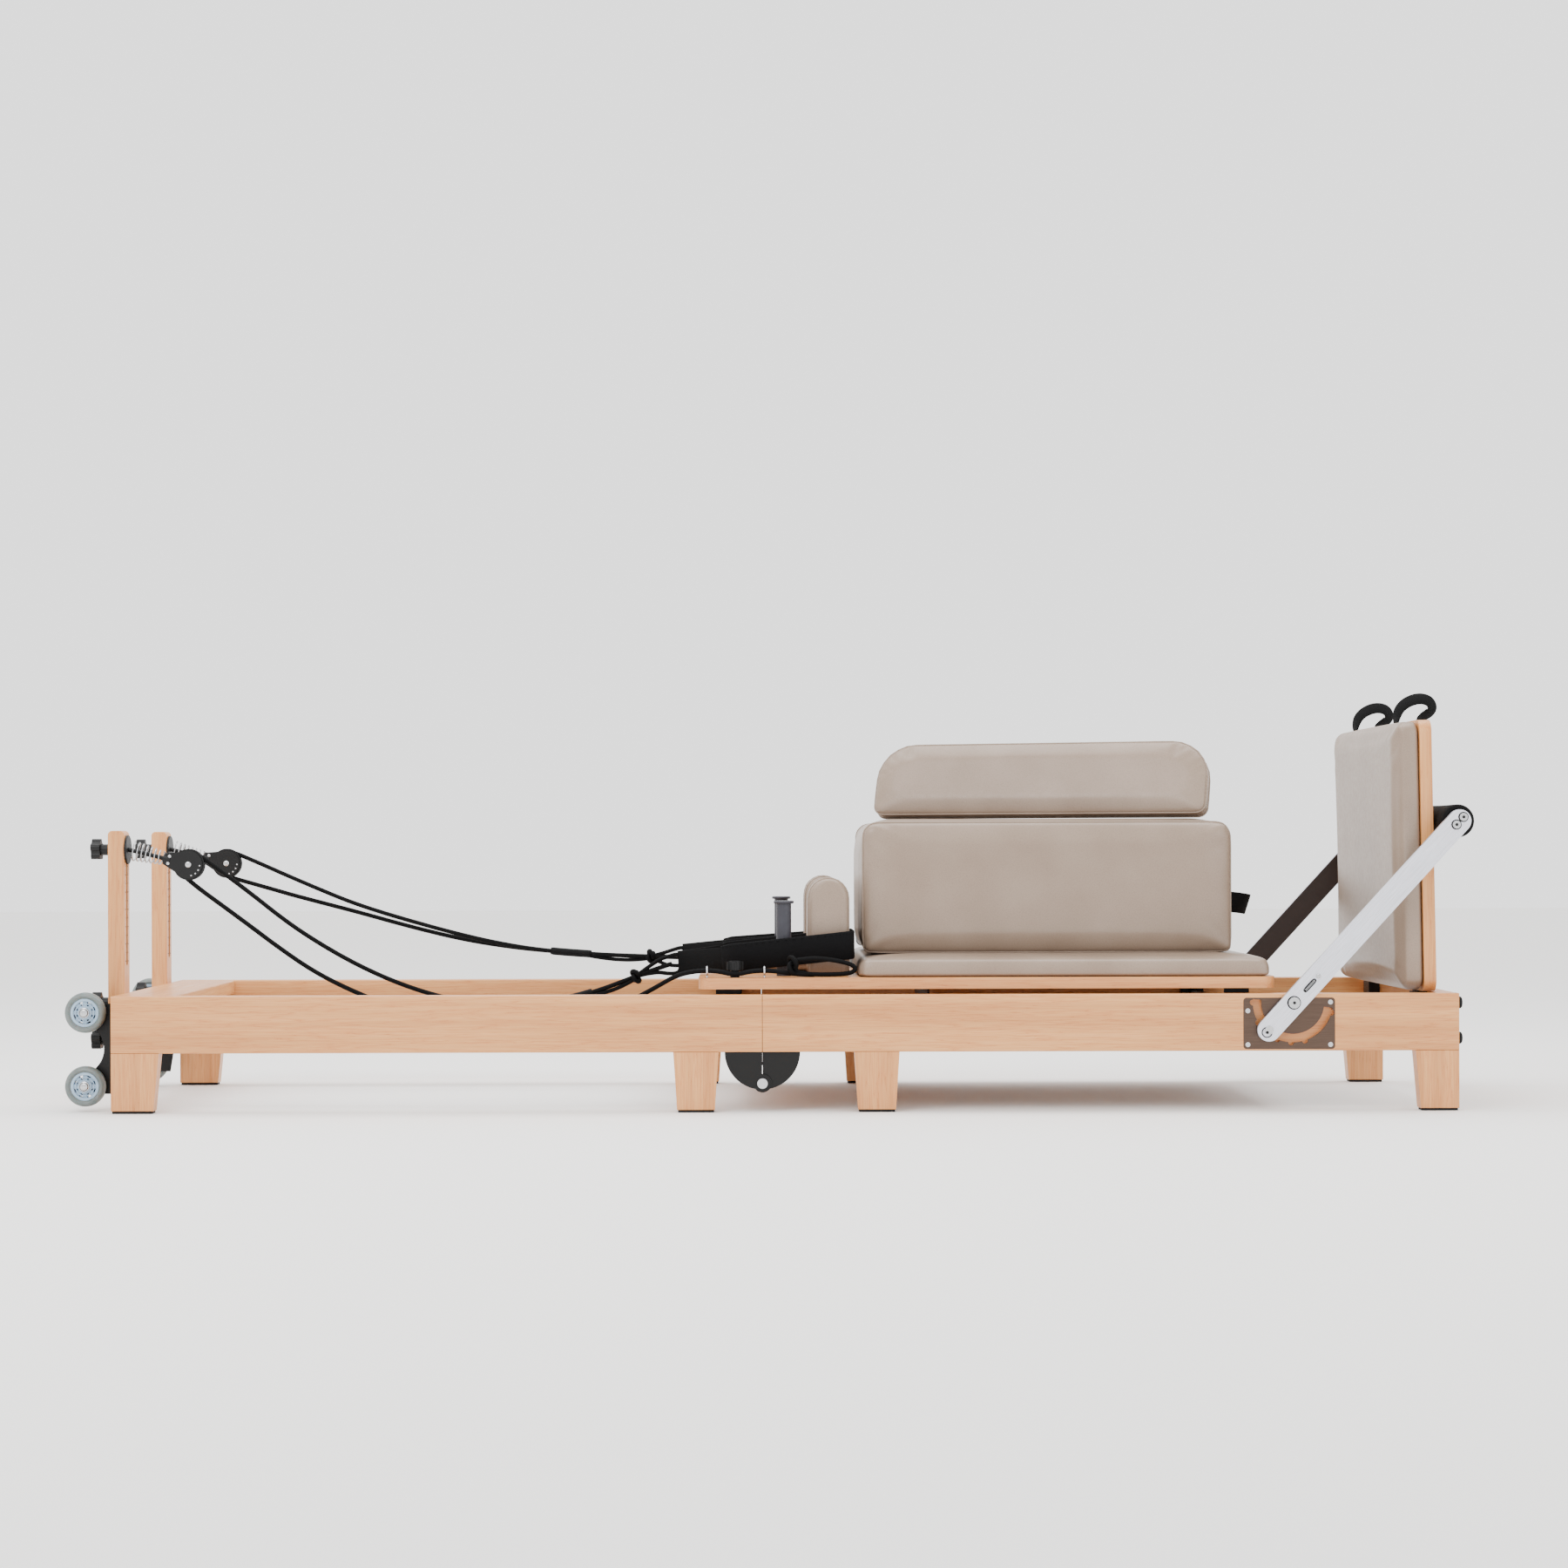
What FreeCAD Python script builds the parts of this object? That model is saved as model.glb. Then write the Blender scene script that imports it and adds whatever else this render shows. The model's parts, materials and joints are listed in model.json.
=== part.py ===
"""Folding wooden pilates reformer: every piece of the frame, carriage and accessories as its own solid.

Millimetres. X runs along the frame, head end negative and foot end positive. Y runs across it, the
near side negative. Z is up from the floor. All lengths below are counted from the fold line, the YZ
plane where the two halves of the frame meet, and every piece is moved by ORIGIN_SHIFT when written,
so that the origin lies on the floor under the middle of the object.
"""
import FreeCAD, Part
import math
import os

V = FreeCAD.Vector

# ---- frame ----
HEAD_LENGTH = 1140.0          # fold line to the head end of the rails
FOOT_LENGTH = 1219.0          # fold line to the foot end of the rails
FRAME_WIDTH = 660.0
RAIL_THICK = 32.0
RAIL_HEIGHT = 100.0
RAIL_UNDERSIDE = 105.0        # clear height under the rails
FOLD_GAP = 1.0                # between the two halves' end grain
LEG_PAD_THICK = 4.0
EDGE_ROUND = 2.5              # eased edges of the planed boards
BOARD_THICK = 32.0            # end boards

HEAD_END_LEG_TOP = 84.0
HEAD_END_LEG_FOOT = 74.0
FOOT_END_LEG_TOP = 76.0
FOOT_END_LEG_FOOT = 67.0
HEAD_MID_LEG_NEAR = 77.0      # fold line to the leg's nearer top corner
HEAD_MID_LEG_TOP = 79.0
FOOT_MID_LEG_NEAR = 161.0
FOOT_MID_LEG_TOP = 79.0
MID_LEG_TAPER = 6.5           # each side of a middle leg draws in by this towards the floor

JOINT_BOARD_GAP = 20.0        # fold line to the flat board that ties the rails beside it
JOINT_BOARD_WIDTH = 60.0
JOINT_BOARD_THICK = 22.0

# ---- fold hinge ----
HINGE_DROP = 55.0             # hinge axis below the rails' underside
HINGE_PLATE_RADIUS = 66.0
HINGE_PLATE_THICK = 4.0
HINGE_PLATE_INSET = 4.0       # outer plate's face in from the rail's outer face
HINGE_LAYER_GAP = 0.3
HINGE_EAR_RADIUS = 16.0
HINGE_FLANGE_WIDTH = 20.0
HINGE_FLANGE_THICK = 3.0
BOLT_RADIUS = 6.0
BOLT_HEAD_RADIUS = 9.0
BOLT_HEAD_HEIGHT = 4.5
RUNNING_CLEARANCE = 0.05      # radial, pins and shafts in their holes

# ---- skate wheels and their brackets at the head end ----
WHEEL_RADIUS = 36.0
WHEEL_WIDTH = 24.0
WHEEL_ROUND = 7.0             # rounded shoulders of the tyre
WHEEL_TYRE_DEPTH = 11.0
WHEEL_HUB_INSET = 3.0         # hub's faces in from the tyre's
WHEEL_HUB_BOSS = 11.0
WHEEL_WINDOWS = 5
WHEEL_WINDOW_RADIUS = 4.6
WHEEL_STANDOFF = 55.0         # wheel axles out from the frame's end
WHEEL_FLOOR_GAP = 8.5         # lower wheels off the floor
WHEEL_SPACING = 130.0
WHEEL_INSET = 50.0            # middle of a wheel in from the rail's outer face
WHEEL_BOLT_RADIUS = 4.0
WHEEL_BOLT_HEAD_RADIUS = 7.5
WHEEL_BOLT_HEAD = 3.6
WHEEL_PLAY = 0.4              # between a wheel and its bolt head or collar
BRACKET_THICK = 4.0
BRACKET_GAP = 4.0             # between a wheel and its bracket cheek
BRACKET_BOSS = 15.0
BRACKET_LOWER_REACH = 12.0    # lower edge's corner out from the frame's end
BRACKET_FLANGE_WIDTH = 30.0
BRACKET_FLANGE_GAP = 2.0      # flange in from the end board's upper and lower edges
BRACKET_ARCH_RADIUS = 46.0
BRACKET_ARCH_OUT = 17.0       # centre of the arch out from the wheel axles

# ---- risers, knobs and pulleys ----
RISER_WIDTH = 46.0
RISER_THICK = 29.5
RISER_TOP = 496.0
RISER_OFFSET = 192.0          # riser centre from the frame's centre line
RISER_SLOT_WIDTH = 9.0
RISER_SLOT_LENGTH = 220.0
RISER_SLOT_DROP = 18.0        # upper end of the slot below the riser's top
RISER_TOP_ROUND = 8.0
RISER_KNOB_LOW = 17.0         # lower clamping bolt above the rails' underside
RISER_KNOB_HIGH = 18.0        # upper clamping bolt below the rails' top
RISER_BOLT_DEPTH = 20.0       # of the bolt in the frame's end
KNOB_RADIUS = 19.5
KNOB_THICK = 16.0
KNOB_LOBES = 5
KNOB_STEM_RADIUS = 10.0
KNOB_STEM = 16.0
KNOB_BOLT_RADIUS = 4.0
PULLEY_DROP = 34.0            # bolt that holds the pulley, below the riser's top
DISC_RADIUS = 26.0
DISC_THICK = 4.0
DISC_ROUND = 1.2
SHEAVE_X_OUT = 112.0          # sheave axle from the frame's end
SHEAVE_DROP = 27.0            # sheave axle below the pulley's bolt
SHEAVE_RADIUS = 28.0
SHEAVE_WIDTH = 12.0
SHEAVE_AXLE_RADIUS = 3.5
SHEAVE_GROOVE_PLAY = 0.5
CHEEK_THICK = 2.0
CHEEK_GAP = 1.5               # between a cheek and the sheave
CHEEK_RADIUS = 25.0
CHEEK_PIN_PROUD = 1.5
BLOCK_HEAD_RADIUS = 11.0
BLOCK_HEAD_BACK = 46.0        # sheave axle to the back of the block's head
BLOCK_HEAD_LENGTH = 12.0
BLOCK_NECK = 10.0             # half height of the cheeks where they leave the head
STAND_SPRING_LEAN = 7.0       # spring's foot out along the pulley's axis
STAND_SPRING_BASE = 19.0
STAND_SPRING_TIP = 12.5
STAND_SPRING_WALL = 3.0

# ---- head platform and running tracks ----
PLATFORM_LENGTH = 107.0
PLATFORM_THICK = 25.0
TRACK_RISE = 54.7             # running surface above the rails' underside
TRACK_WIDTH = 32.0
TRACK_THICK = 4.0
TRACK_SKIRT = 26.0
TRACK_SKIRT_THICK = 3.0
TRACK_HEAD_GAP = 5.0          # end of the track off the platform
TRACK_FOOT_GAP = 99.0         # end of the track from the frame's foot end

# ---- carriage: lengths along it are counted from the head edge of its board ----
CARRIAGE_LENGTH = 1015.0
CARRIAGE_FOOT_GAP = 316.0     # its foot edge from the frame's foot end
CARRIAGE_SIDE_INSET = 20.0    # its sides in from the rails' outer faces
CARRIAGE_LIFT = 9.0           # its underside above the rails
CARRIAGE_BOARD_THICK = 20.0
CARRIAGE_CORNER = 25.0
PAD_ALONG = 278.0
PAD_THICK = 39.0
PAD_MARGIN = 4.0              # pad's edge in from the board's edge
PAD_CORNER = 24.0
PAD_ROUND = 10.0
AXLE_INSET_HEAD = 52.0        # wheel axles in from the board's ends
AXLE_INSET_FOOT = 63.0
ROLLER_RADIUS = 20.0
ROLLER_WIDTH = 20.0
ROLLER_INSET = 38.0           # outer side of a roller in from the rail's outer face
ROLLER_GAP = 0.3              # roller above its track
AXLE_RADIUS = 6.0
AXLE_PROUD = 2.0              # shaft end outside its roller
AXLE_BRACKET_THICK = 4.0
AXLE_BRACKET_HALF = 22.0
AXLE_BRACKET_DROP = 14.0      # bracket's lower edge below the shaft's axis
AXLE_BRACKET_GAP = 6.0        # between a roller and its bracket
AXLE_BRACKET_FLANGE = 26.0
SHEET_THICK = 3.0             # flanges of the brackets
SHOULDER_ALONG = 191.0
SHOULDER_LENGTH = 80.0
SHOULDER_HEIGHT = 178.0
SHOULDER_INNER = 100.0        # inner side from the centre line
SHOULDER_WIDTH = 130.0
HEADREST_ALONG = 72.0
HEADREST_LENGTH = 178.0
HEADREST_WIDTH = 176.0
HEADREST_THICK = 30.0
HEADREST_CORNER = 12.0
HEADREST_GAP = 3.0
HEADREST_HINGE_RADIUS = 4.0
HEADREST_HINGE_GAP = 0.5      # barrel above the board
HEADREST_BARREL_INSET = 20.0  # ends of the barrel in from the pad's sides
HEADREST_LEAF_THICK = 1.5
HEADREST_LUG_INSET = 8.0
HEADREST_LUG_WIDTH = 8.0
HEADREST_LUG_HALF = 3.0
HEADREST_PIN_RADIUS = 1.8
HEADREST_PIN_LENGTH = 3.5
PEG_ALONG = 151.0
PEG_OFFSET = 230.0
PEG_RADIUS = 13.3
PEG_HEIGHT = 134.0
PEG_CAP_RADIUS = 18.0
PEG_CAP_THICK = 5.0
PEG_CAP_ROUND = 2.0
CLEAT_ALONG = 64.0
CLEAT_INSET = 24.0            # cleat and eye pins in from the board's side
CLEAT_RADIUS = 15.0
CLEAT_HEIGHT = 28.0
CLEAT_WAIST = 13.0            # height of the narrow stem that the rope passes beside
CLEAT_WAIST_RADIUS = 8.0
EYE_PINS_ALONG = (15.0, 116.0)
EYE_PIN_INSET = 10.0
EYE_PIN_RADIUS = 1.8
EYE_PIN_HEIGHT = 21.0
EYE_PIN_RING = 7.0            # radius of the ring's middle line
SPRING_COUNT = 5
SPRING_RADIUS = 13.0
SPRING_WALL = 2.5
SPRING_RISE = 41.0            # springs' axes above the rails' underside
SPRING_PITCH = 90.0
SPRING_ANCHOR_ALONG = 412.0
SPRING_ANCHOR_THICK = 4.0
SPRING_ANCHOR_FLANGE = 30.0
SPRING_ANCHOR_DROP = 14.0     # anchor's lower edge below the springs' axes
SPRING_ANCHOR_END = 25.0      # anchor's ends past the outer springs
SPRING_BAR_GAP = 12.0         # carriage's foot edge to the spring bar
SPRING_BAR_THICK = 6.0
SPRING_BAR_LOW = 3.0          # the bar's three levels above the rails' underside
SPRING_BAR_STEP = 21.0
SPRING_BAR_TOP = 61.0
SPRING_BAR_TRACK_GAP = 4.0
SPRING_BAR_FLANGE = 40.0
SPRING_BAR_FLANGE_THICK = 4.0

# ---- footbar ----
PIVOT_FOOT_GAP = 291.0        # pivot from the frame's foot end
PIVOT_RISE = 84.5             # pivot above the rails' underside
PIVOT_PLAY = 0.2              # between the pivot's shoulders and what they hold
PIVOT_HEAD_RADIUS = 10.0
PIVOT_HEAD = 4.0
PIVOT_SPACER_RADIUS = 13.0
PIVOT_NUT = 7.0
ARM_ANGLE = 47.5              # of the arm above the horizontal
ARM_REACH = 424.2             # pivot to the grip's centre, latched
ARM_WIDTH = 40.0
ARM_THICK = 9.0
ARM_GAP = 3.0                 # arm's inner face off the rail
ARM_SLOT_PLAY = 0.5           # spare length at each end of the arm's slot
LOCK_PIN_RADIUS = 5.0
LOCK_PIN_HEAD_RADIUS = 7.5
LOCK_PIN_PLAY = 0.2           # radial, in the slot and the notches
LOCK_PIN_END_GAP = 2.0        # pin's tip off the bottom of the slot
LATCH_TRAVEL = 5.5            # lift along the arm that frees the lock pin from its notch
PIN_FREE_RADIUS = 64.5        # pivot to the lock pin, freed
ARC_INNER = 55.0
ARC_OUTER = 70.0
NOTCH_OUTER = 75.2
ARC_START = 175.0             # ends of the arc slot, degrees about the pivot
ARC_END = 352.0
NOTCH_ANGLES = (180.0, 210.0, 180.0 + ARM_ANGLE, 247.0, 267.5, 287.5, 345.0)
GEAR_PLATE_LENGTH = 160.6
GEAR_PLATE_HEIGHT = 90.2
GEAR_PLATE_BACK = 6.4         # plate's middle towards the head end from the pivot
GEAR_PLATE_RISE = 47.9        # plate's middle above the rails' underside
GEAR_PLATE_THICK = 4.0
GEAR_PLATE_CORNER = 6.0
GEAR_POCKET_DEPTH = 14.0
SCREW_INSET = 8.0             # screws in from the plate's edges
SCREW_DROP = 15.0             # further drop of the screw beside the slot's end
SCREW_RADIUS = 4.2
SCREW_SINK = 3.0
SCREW_SHANK = 2.2
SCREW_LENGTH = 16.0
GRIP_RADIUS = 29.0
GRIP_ROUND = 4.0
GRIP_TUBE_RADIUS = 12.5
GRIP_CLEARANCE = 2.0          # foam ends off the arms
ARM_BOLT_SPACING = 18.0
ARM_BOLT_RADIUS = 7.0
ARM_BOLT_SHANK = 4.0
ARM_BOLT_HEAD = 3.0

# ---- jumpboard ----
JUMP_FOOT_GAP = 30.0          # foot face of the panel from the frame's foot end
JUMP_THICK = 21.0
JUMP_PAD_THICK = 43.0
JUMP_PAD_INSET = 2.0
JUMP_PAD_ROUND = 12.0
JUMP_SIDE_INSET = 40.0        # panel's sides in from the rails' outer faces
JUMP_HEIGHT = 480.0
JUMP_LEAN = 1.0               # degrees towards the head end
JUMP_FLOOR_GAP = 1.0          # panel above the rails
JUMP_CORNER = 22.0
POST_THICK = 12.0
POST_WIDTH = 40.0
POST_OFFSET = 200.0
POST_IN_PANEL = 60.0
SOCKET_WALL = 4.0
SOCKET_DEPTH = 80.0
SOCKET_CLEARANCE = 0.5
SOCKET_FLOOR_GAP = 1.0        # post's end off the socket's floor
SOCKET_TOP_GAP = 3.0          # socket's mouth below the rails' top
LOOP_OFFSET = 180.0           # webbing loops from the centre line
LOOP_RISE = 42.0
LOOP_LENGTH = 40.0
LOOP_HALF_WIDTH = 13.0
LOOP_THICK = 3.0
LOOP_ROUND = 16.0

# ---- long box and lumbar cushion ----
BOX_ALONG = 291.0             # head end of the box from the carriage's head edge
BOX_LENGTH = 667.0
BOX_WIDTH = 400.0
BOX_HEIGHT = 237.0
BOX_ROUND = 14.0
BOX_TOP_ROUND = 11.0
BOX_BOARD = 18.0              # thickness of the box's sides and top with their covering
HANDLE_DROP = 152.0           # webbing handle below the box's top
HANDLE_RADIUS = 58.0
HANDLE_THICK = 3.0
HANDLE_WIDTH = 38.0
CUSHION_ALONG = 341.0         # middle of the cushion from the box's head end
CUSHION_GAP = 0.3             # cushion above the box
CUSHION_LENGTH = 640.0
CUSHION_HEIGHT = 146.0
CUSHION_THICK = 50.0
CUSHION_YAW = 20.0            # foot-side end turned to the near side
CUSHION_LEAN = 20.0           # top turned to the far side
CUSHION_TOP_CORNER = 72.0
CUSHION_LOW_CORNER = 18.0

# ---- rubber end bumpers ----
BUMPER_RADIUS = 10.5
BUMPER_PROUD = 8.0
BUMPER_ROUND = 3.5
BUMPER_LOW = 21.0             # lower pair above the rails' underside
BUMPER_HIGH = 17.0            # upper pair below the rails' top

# ---- ropes and webbing straps ----
ROPE_DIAMETER = 8.0
ROPE_WRAP_PLAY = 0.4          # rope off the bottom of its sheave's groove
STRAP_THICK = 4.0
STRAP_HEIGHT = 48.0
STRAP_LIFT = 3.0              # straps' lower edges above the carriage board's head edge
STRAP_TILTS = (6.0, 4.0)      # near and far straps rise towards the foot end, degrees

# ---- sizes that follow from the ones above ----
HALF_WIDTH = FRAME_WIDTH / 2
INNER_HALF = HALF_WIDTH - RAIL_THICK
RAIL_TOP = RAIL_UNDERSIDE + RAIL_HEIGHT
HINGE_Z = RAIL_UNDERSIDE - HINGE_DROP
PLATFORM_UNDERSIDE = RAIL_TOP - PLATFORM_THICK
WHEEL_X = -HEAD_LENGTH - WHEEL_STANDOFF
WHEEL_LOW_Z = WHEEL_FLOOR_GAP + WHEEL_RADIUS
WHEEL_HEIGHTS = (WHEEL_LOW_Z, WHEEL_LOW_Z + WHEEL_SPACING)
WHEEL_Y = HALF_WIDTH - WHEEL_INSET
RISER_KNOB_HEIGHTS = (RAIL_UNDERSIDE + RISER_KNOB_LOW, RAIL_TOP - RISER_KNOB_HIGH)
RISER_SLOT_HIGH = RISER_TOP - RISER_SLOT_DROP
RISER_SLOT_LOW = RISER_SLOT_HIGH - RISER_SLOT_LENGTH
PULLEY_HEIGHT = RISER_TOP - PULLEY_DROP
SHEAVE_X = -HEAD_LENGTH + SHEAVE_X_OUT
SHEAVE_Z = PULLEY_HEIGHT - SHEAVE_DROP
TRACK_TOP = RAIL_UNDERSIDE + TRACK_RISE
CARRIAGE_END = FOOT_LENGTH - CARRIAGE_FOOT_GAP
CARRIAGE_START = CARRIAGE_END - CARRIAGE_LENGTH
CARRIAGE_HALF = HALF_WIDTH - CARRIAGE_SIDE_INSET
CARRIAGE_UNDERSIDE = RAIL_TOP + CARRIAGE_LIFT
CARRIAGE_TOP = CARRIAGE_UNDERSIDE + CARRIAGE_BOARD_THICK
PAD_START = CARRIAGE_START + PAD_ALONG
PAD_TOP = CARRIAGE_TOP + PAD_THICK
SHOULDER_X = CARRIAGE_START + SHOULDER_ALONG
HEADREST_START = CARRIAGE_START + HEADREST_ALONG
PEG_X = CARRIAGE_START + PEG_ALONG
CLEAT_X = CARRIAGE_START + CLEAT_ALONG
CLEAT_OFFSET = CARRIAGE_HALF - CLEAT_INSET
EYE_PIN_XS = [CARRIAGE_START + along for along in EYE_PINS_ALONG]
EYE_PIN_OFFSET = CARRIAGE_HALF - EYE_PIN_INSET
AXLE_Z = TRACK_TOP + ROLLER_RADIUS + ROLLER_GAP
SPRING_Z = RAIL_UNDERSIDE + SPRING_RISE
SPRING_ANCHOR_X = CARRIAGE_START + SPRING_ANCHOR_ALONG
PIVOT_X = FOOT_LENGTH - PIVOT_FOOT_GAP
PIVOT_Z = RAIL_UNDERSIDE + PIVOT_RISE
GEAR_PLATE_X = PIVOT_X - GEAR_PLATE_BACK
GEAR_PLATE_Z = RAIL_UNDERSIDE + GEAR_PLATE_RISE
ARM_DIRECTION = V(math.cos(math.radians(ARM_ANGLE)), 0, math.sin(math.radians(ARM_ANGLE)))
PIVOT = V(PIVOT_X, 0, PIVOT_Z)
GRIP_CENTRE = PIVOT + ARM_DIRECTION * (ARM_REACH + LATCH_TRAVEL)
LOCK_PIN_CENTRE = PIVOT - ARM_DIRECTION * PIN_FREE_RADIUS
ARM_INNER_Y = HALF_WIDTH + ARM_GAP
JUMP_BACK_X = FOOT_LENGTH - JUMP_FOOT_GAP
JUMP_FLOOR = RAIL_TOP + JUMP_FLOOR_GAP
BOX_START = CARRIAGE_START + BOX_ALONG
BOX_TOP = PAD_TOP + BOX_HEIGHT
BUMPER_HEIGHTS = (RAIL_UNDERSIDE + BUMPER_LOW, RAIL_TOP - BUMPER_HIGH)
ORIGIN_SHIFT = -(WHEEL_X - WHEEL_RADIUS + GRIP_CENTRE.x + GRIP_RADIUS) / 2

NODES = {}


def keep(name, *solids):
    """File the solids of one node, each still a solid of its own."""
    NODES.setdefault(name, []).extend(solids)


def block(x0, x1, y0, y1, z0, z1):
    return Part.makeBox(x1 - x0, y1 - y0, z1 - z0, V(x0, y0, z0))


def rod(radius, start, end):
    along = end - start
    return Part.makeCylinder(radius, along.Length, start, along)


def across(radius, x, y0, y1, z):
    """A round bar along Y."""
    return rod(radius, V(x, y0, z), V(x, y1, z))


def mirrored(shape):
    """The same piece on the far side."""
    return shape.mirror(V(0, 0, 0), V(0, 1, 0))


def both_sides(name, make):
    """File a near piece and its far twin under one name."""
    near = make()
    for solid in near if isinstance(near, list) else [near]:
        keep(name, solid, mirrored(solid))


def polygon_xz(points, y0, y1):
    """A plate whose outline lies in XZ, from y0 to y1."""
    corners = [V(x, y0, z) for x, z in points]
    face = Part.Face(Part.makePolygon(corners + corners[:1]))
    return face.extrude(V(0, y1 - y0, 0))


def stadium_xz(start, end, radius, y0, y1):
    """A bar with round ends between two points in XZ."""
    along = (end - start).normalize()
    side = V(-along.z, 0, along.x) * radius
    base = V(0, y0, 0)
    corners = [start + side, end + side, end - side, start - side]
    wire = Part.Wire([
        Part.LineSegment(base + corners[0], base + corners[1]).toShape(),
        Part.Arc(base + corners[1], base + end + along * radius, base + corners[2]).toShape(),
        Part.LineSegment(base + corners[2], base + corners[3]).toShape(),
        Part.Arc(base + corners[3], base + start - along * radius, base + corners[0]).toShape(),
    ])
    return Part.Face(wire).extrude(V(0, y1 - y0, 0))


def edges_along(shape, axis, test=lambda point: True):
    """Straight edges that run along an axis and whose middle passes the test."""
    found = []
    for edge in shape.Edges:
        if not isinstance(edge.Curve, Part.Line):
            continue
        if abs(abs(edge.tangentAt(edge.FirstParameter).dot(axis)) - 1) < 1e-6:
            middle = edge.valueAt((edge.FirstParameter + edge.LastParameter) / 2)
            if test(middle):
                found.append(edge)
    return found


def eased(shape, axis, radius=EDGE_ROUND, test=lambda point: True):
    return shape.makeFillet(radius, edges_along(shape, axis, test))


X, Y, Z = V(1, 0, 0), V(0, 1, 0), V(0, 0, 1)


# ---- side rails, end boards and joint boards ----

def arc_slot(depth):
    """The curved slot with its notches that the lock pin runs in, from the rail's outer face inwards."""
    outer_y = -HALF_WIDTH - 1
    ring = across(ARC_OUTER, PIVOT_X, outer_y, outer_y + 1 + depth, PIVOT_Z)
    ring = ring.cut(across(ARC_INNER, PIVOT_X, outer_y, outer_y + 1 + depth, PIVOT_Z))
    start, end = math.radians(ARC_START), math.radians(ARC_END)
    reach = 3 * ARC_OUTER
    wedge = [(PIVOT_X, PIVOT_Z)]
    steps = 4
    for step in range(steps + 1):
        angle = start + (end - start) * step / steps
        wedge.append((PIVOT_X + reach * math.cos(angle), PIVOT_Z + reach * math.sin(angle)))
    slot = ring.common(polygon_xz(wedge, outer_y, outer_y + 1 + depth))
    width = LOCK_PIN_RADIUS + LOCK_PIN_PLAY
    for angle in NOTCH_ANGLES:
        out = V(math.cos(math.radians(angle)), 0, math.sin(math.radians(angle)))
        middle = PIVOT + out * (ARC_INNER + width)
        tip = PIVOT + out * (NOTCH_OUTER - width)
        slot = slot.fuse(stadium_xz(middle, tip, width, outer_y, outer_y + 1 + depth))
    return slot.removeSplitter()


def rail(x0, x1):
    return eased(block(x0, x1, -HALF_WIDTH, -INNER_HALF, RAIL_UNDERSIDE, RAIL_TOP), X)


def gear_plate_blank(y0, y1):
    half_length, half_height = GEAR_PLATE_LENGTH / 2, GEAR_PLATE_HEIGHT / 2
    blank = block(GEAR_PLATE_X - half_length, GEAR_PLATE_X + half_length, y0, y1,
                  GEAR_PLATE_Z - half_height, GEAR_PLATE_Z + half_height)
    return blank.makeFillet(GEAR_PLATE_CORNER, edges_along(blank, Y))


def gear_screw_spots():
    half_length, half_height = GEAR_PLATE_LENGTH / 2 - SCREW_INSET, GEAR_PLATE_HEIGHT / 2 - SCREW_INSET
    return [(GEAR_PLATE_X - half_length, GEAR_PLATE_Z + half_height - SCREW_DROP),
            (GEAR_PLATE_X - half_length, GEAR_PLATE_Z - half_height),
            (GEAR_PLATE_X + half_length, GEAR_PLATE_Z + half_height),
            (GEAR_PLATE_X + half_length, GEAR_PLATE_Z - half_height)]


def gear_screws():
    screws = []
    for x, z in gear_screw_spots():
        head = across(SCREW_RADIUS, x, -HALF_WIDTH, -HALF_WIDTH + SCREW_SINK, z)
        shank = across(SCREW_SHANK, x, -HALF_WIDTH, -HALF_WIDTH + SCREW_LENGTH, z)
        screws.append(head.fuse(shank))
    return screws


def pivot_bore(radius=BOLT_RADIUS + RUNNING_CLEARANCE):
    return across(radius, PIVOT_X, -HALF_WIDTH - 1, -INNER_HALF + 1, PIVOT_Z)


def foot_rail():
    wood = rail(FOLD_GAP / 2, FOOT_LENGTH)
    pocket = gear_plate_blank(-HALF_WIDTH - 1, -HALF_WIDTH + GEAR_PLATE_THICK)
    wood = wood.cut(pocket).cut(arc_slot(GEAR_POCKET_DEPTH)).cut(pivot_bore())
    for screw in gear_screws():
        wood = wood.cut(screw)
    return wood


def gear_plate():
    plate = gear_plate_blank(-HALF_WIDTH, -HALF_WIDTH + GEAR_PLATE_THICK)
    plate = plate.cut(arc_slot(GEAR_POCKET_DEPTH)).cut(pivot_bore())
    for screw in gear_screws():
        plate = plate.cut(screw)
    return plate


def head_rail():
    return rail(-HEAD_LENGTH, -FOLD_GAP / 2)


def joint_board(side):
    """The flat board that ties the two rails of a half beside the fold."""
    near_x, far_x = side * JOINT_BOARD_GAP, side * (JOINT_BOARD_GAP + JOINT_BOARD_WIDTH)
    board = block(min(near_x, far_x), max(near_x, far_x), -INNER_HALF, INNER_HALF,
                  RAIL_UNDERSIDE, RAIL_UNDERSIDE + JOINT_BOARD_THICK)
    return eased(board, Y)


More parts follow.
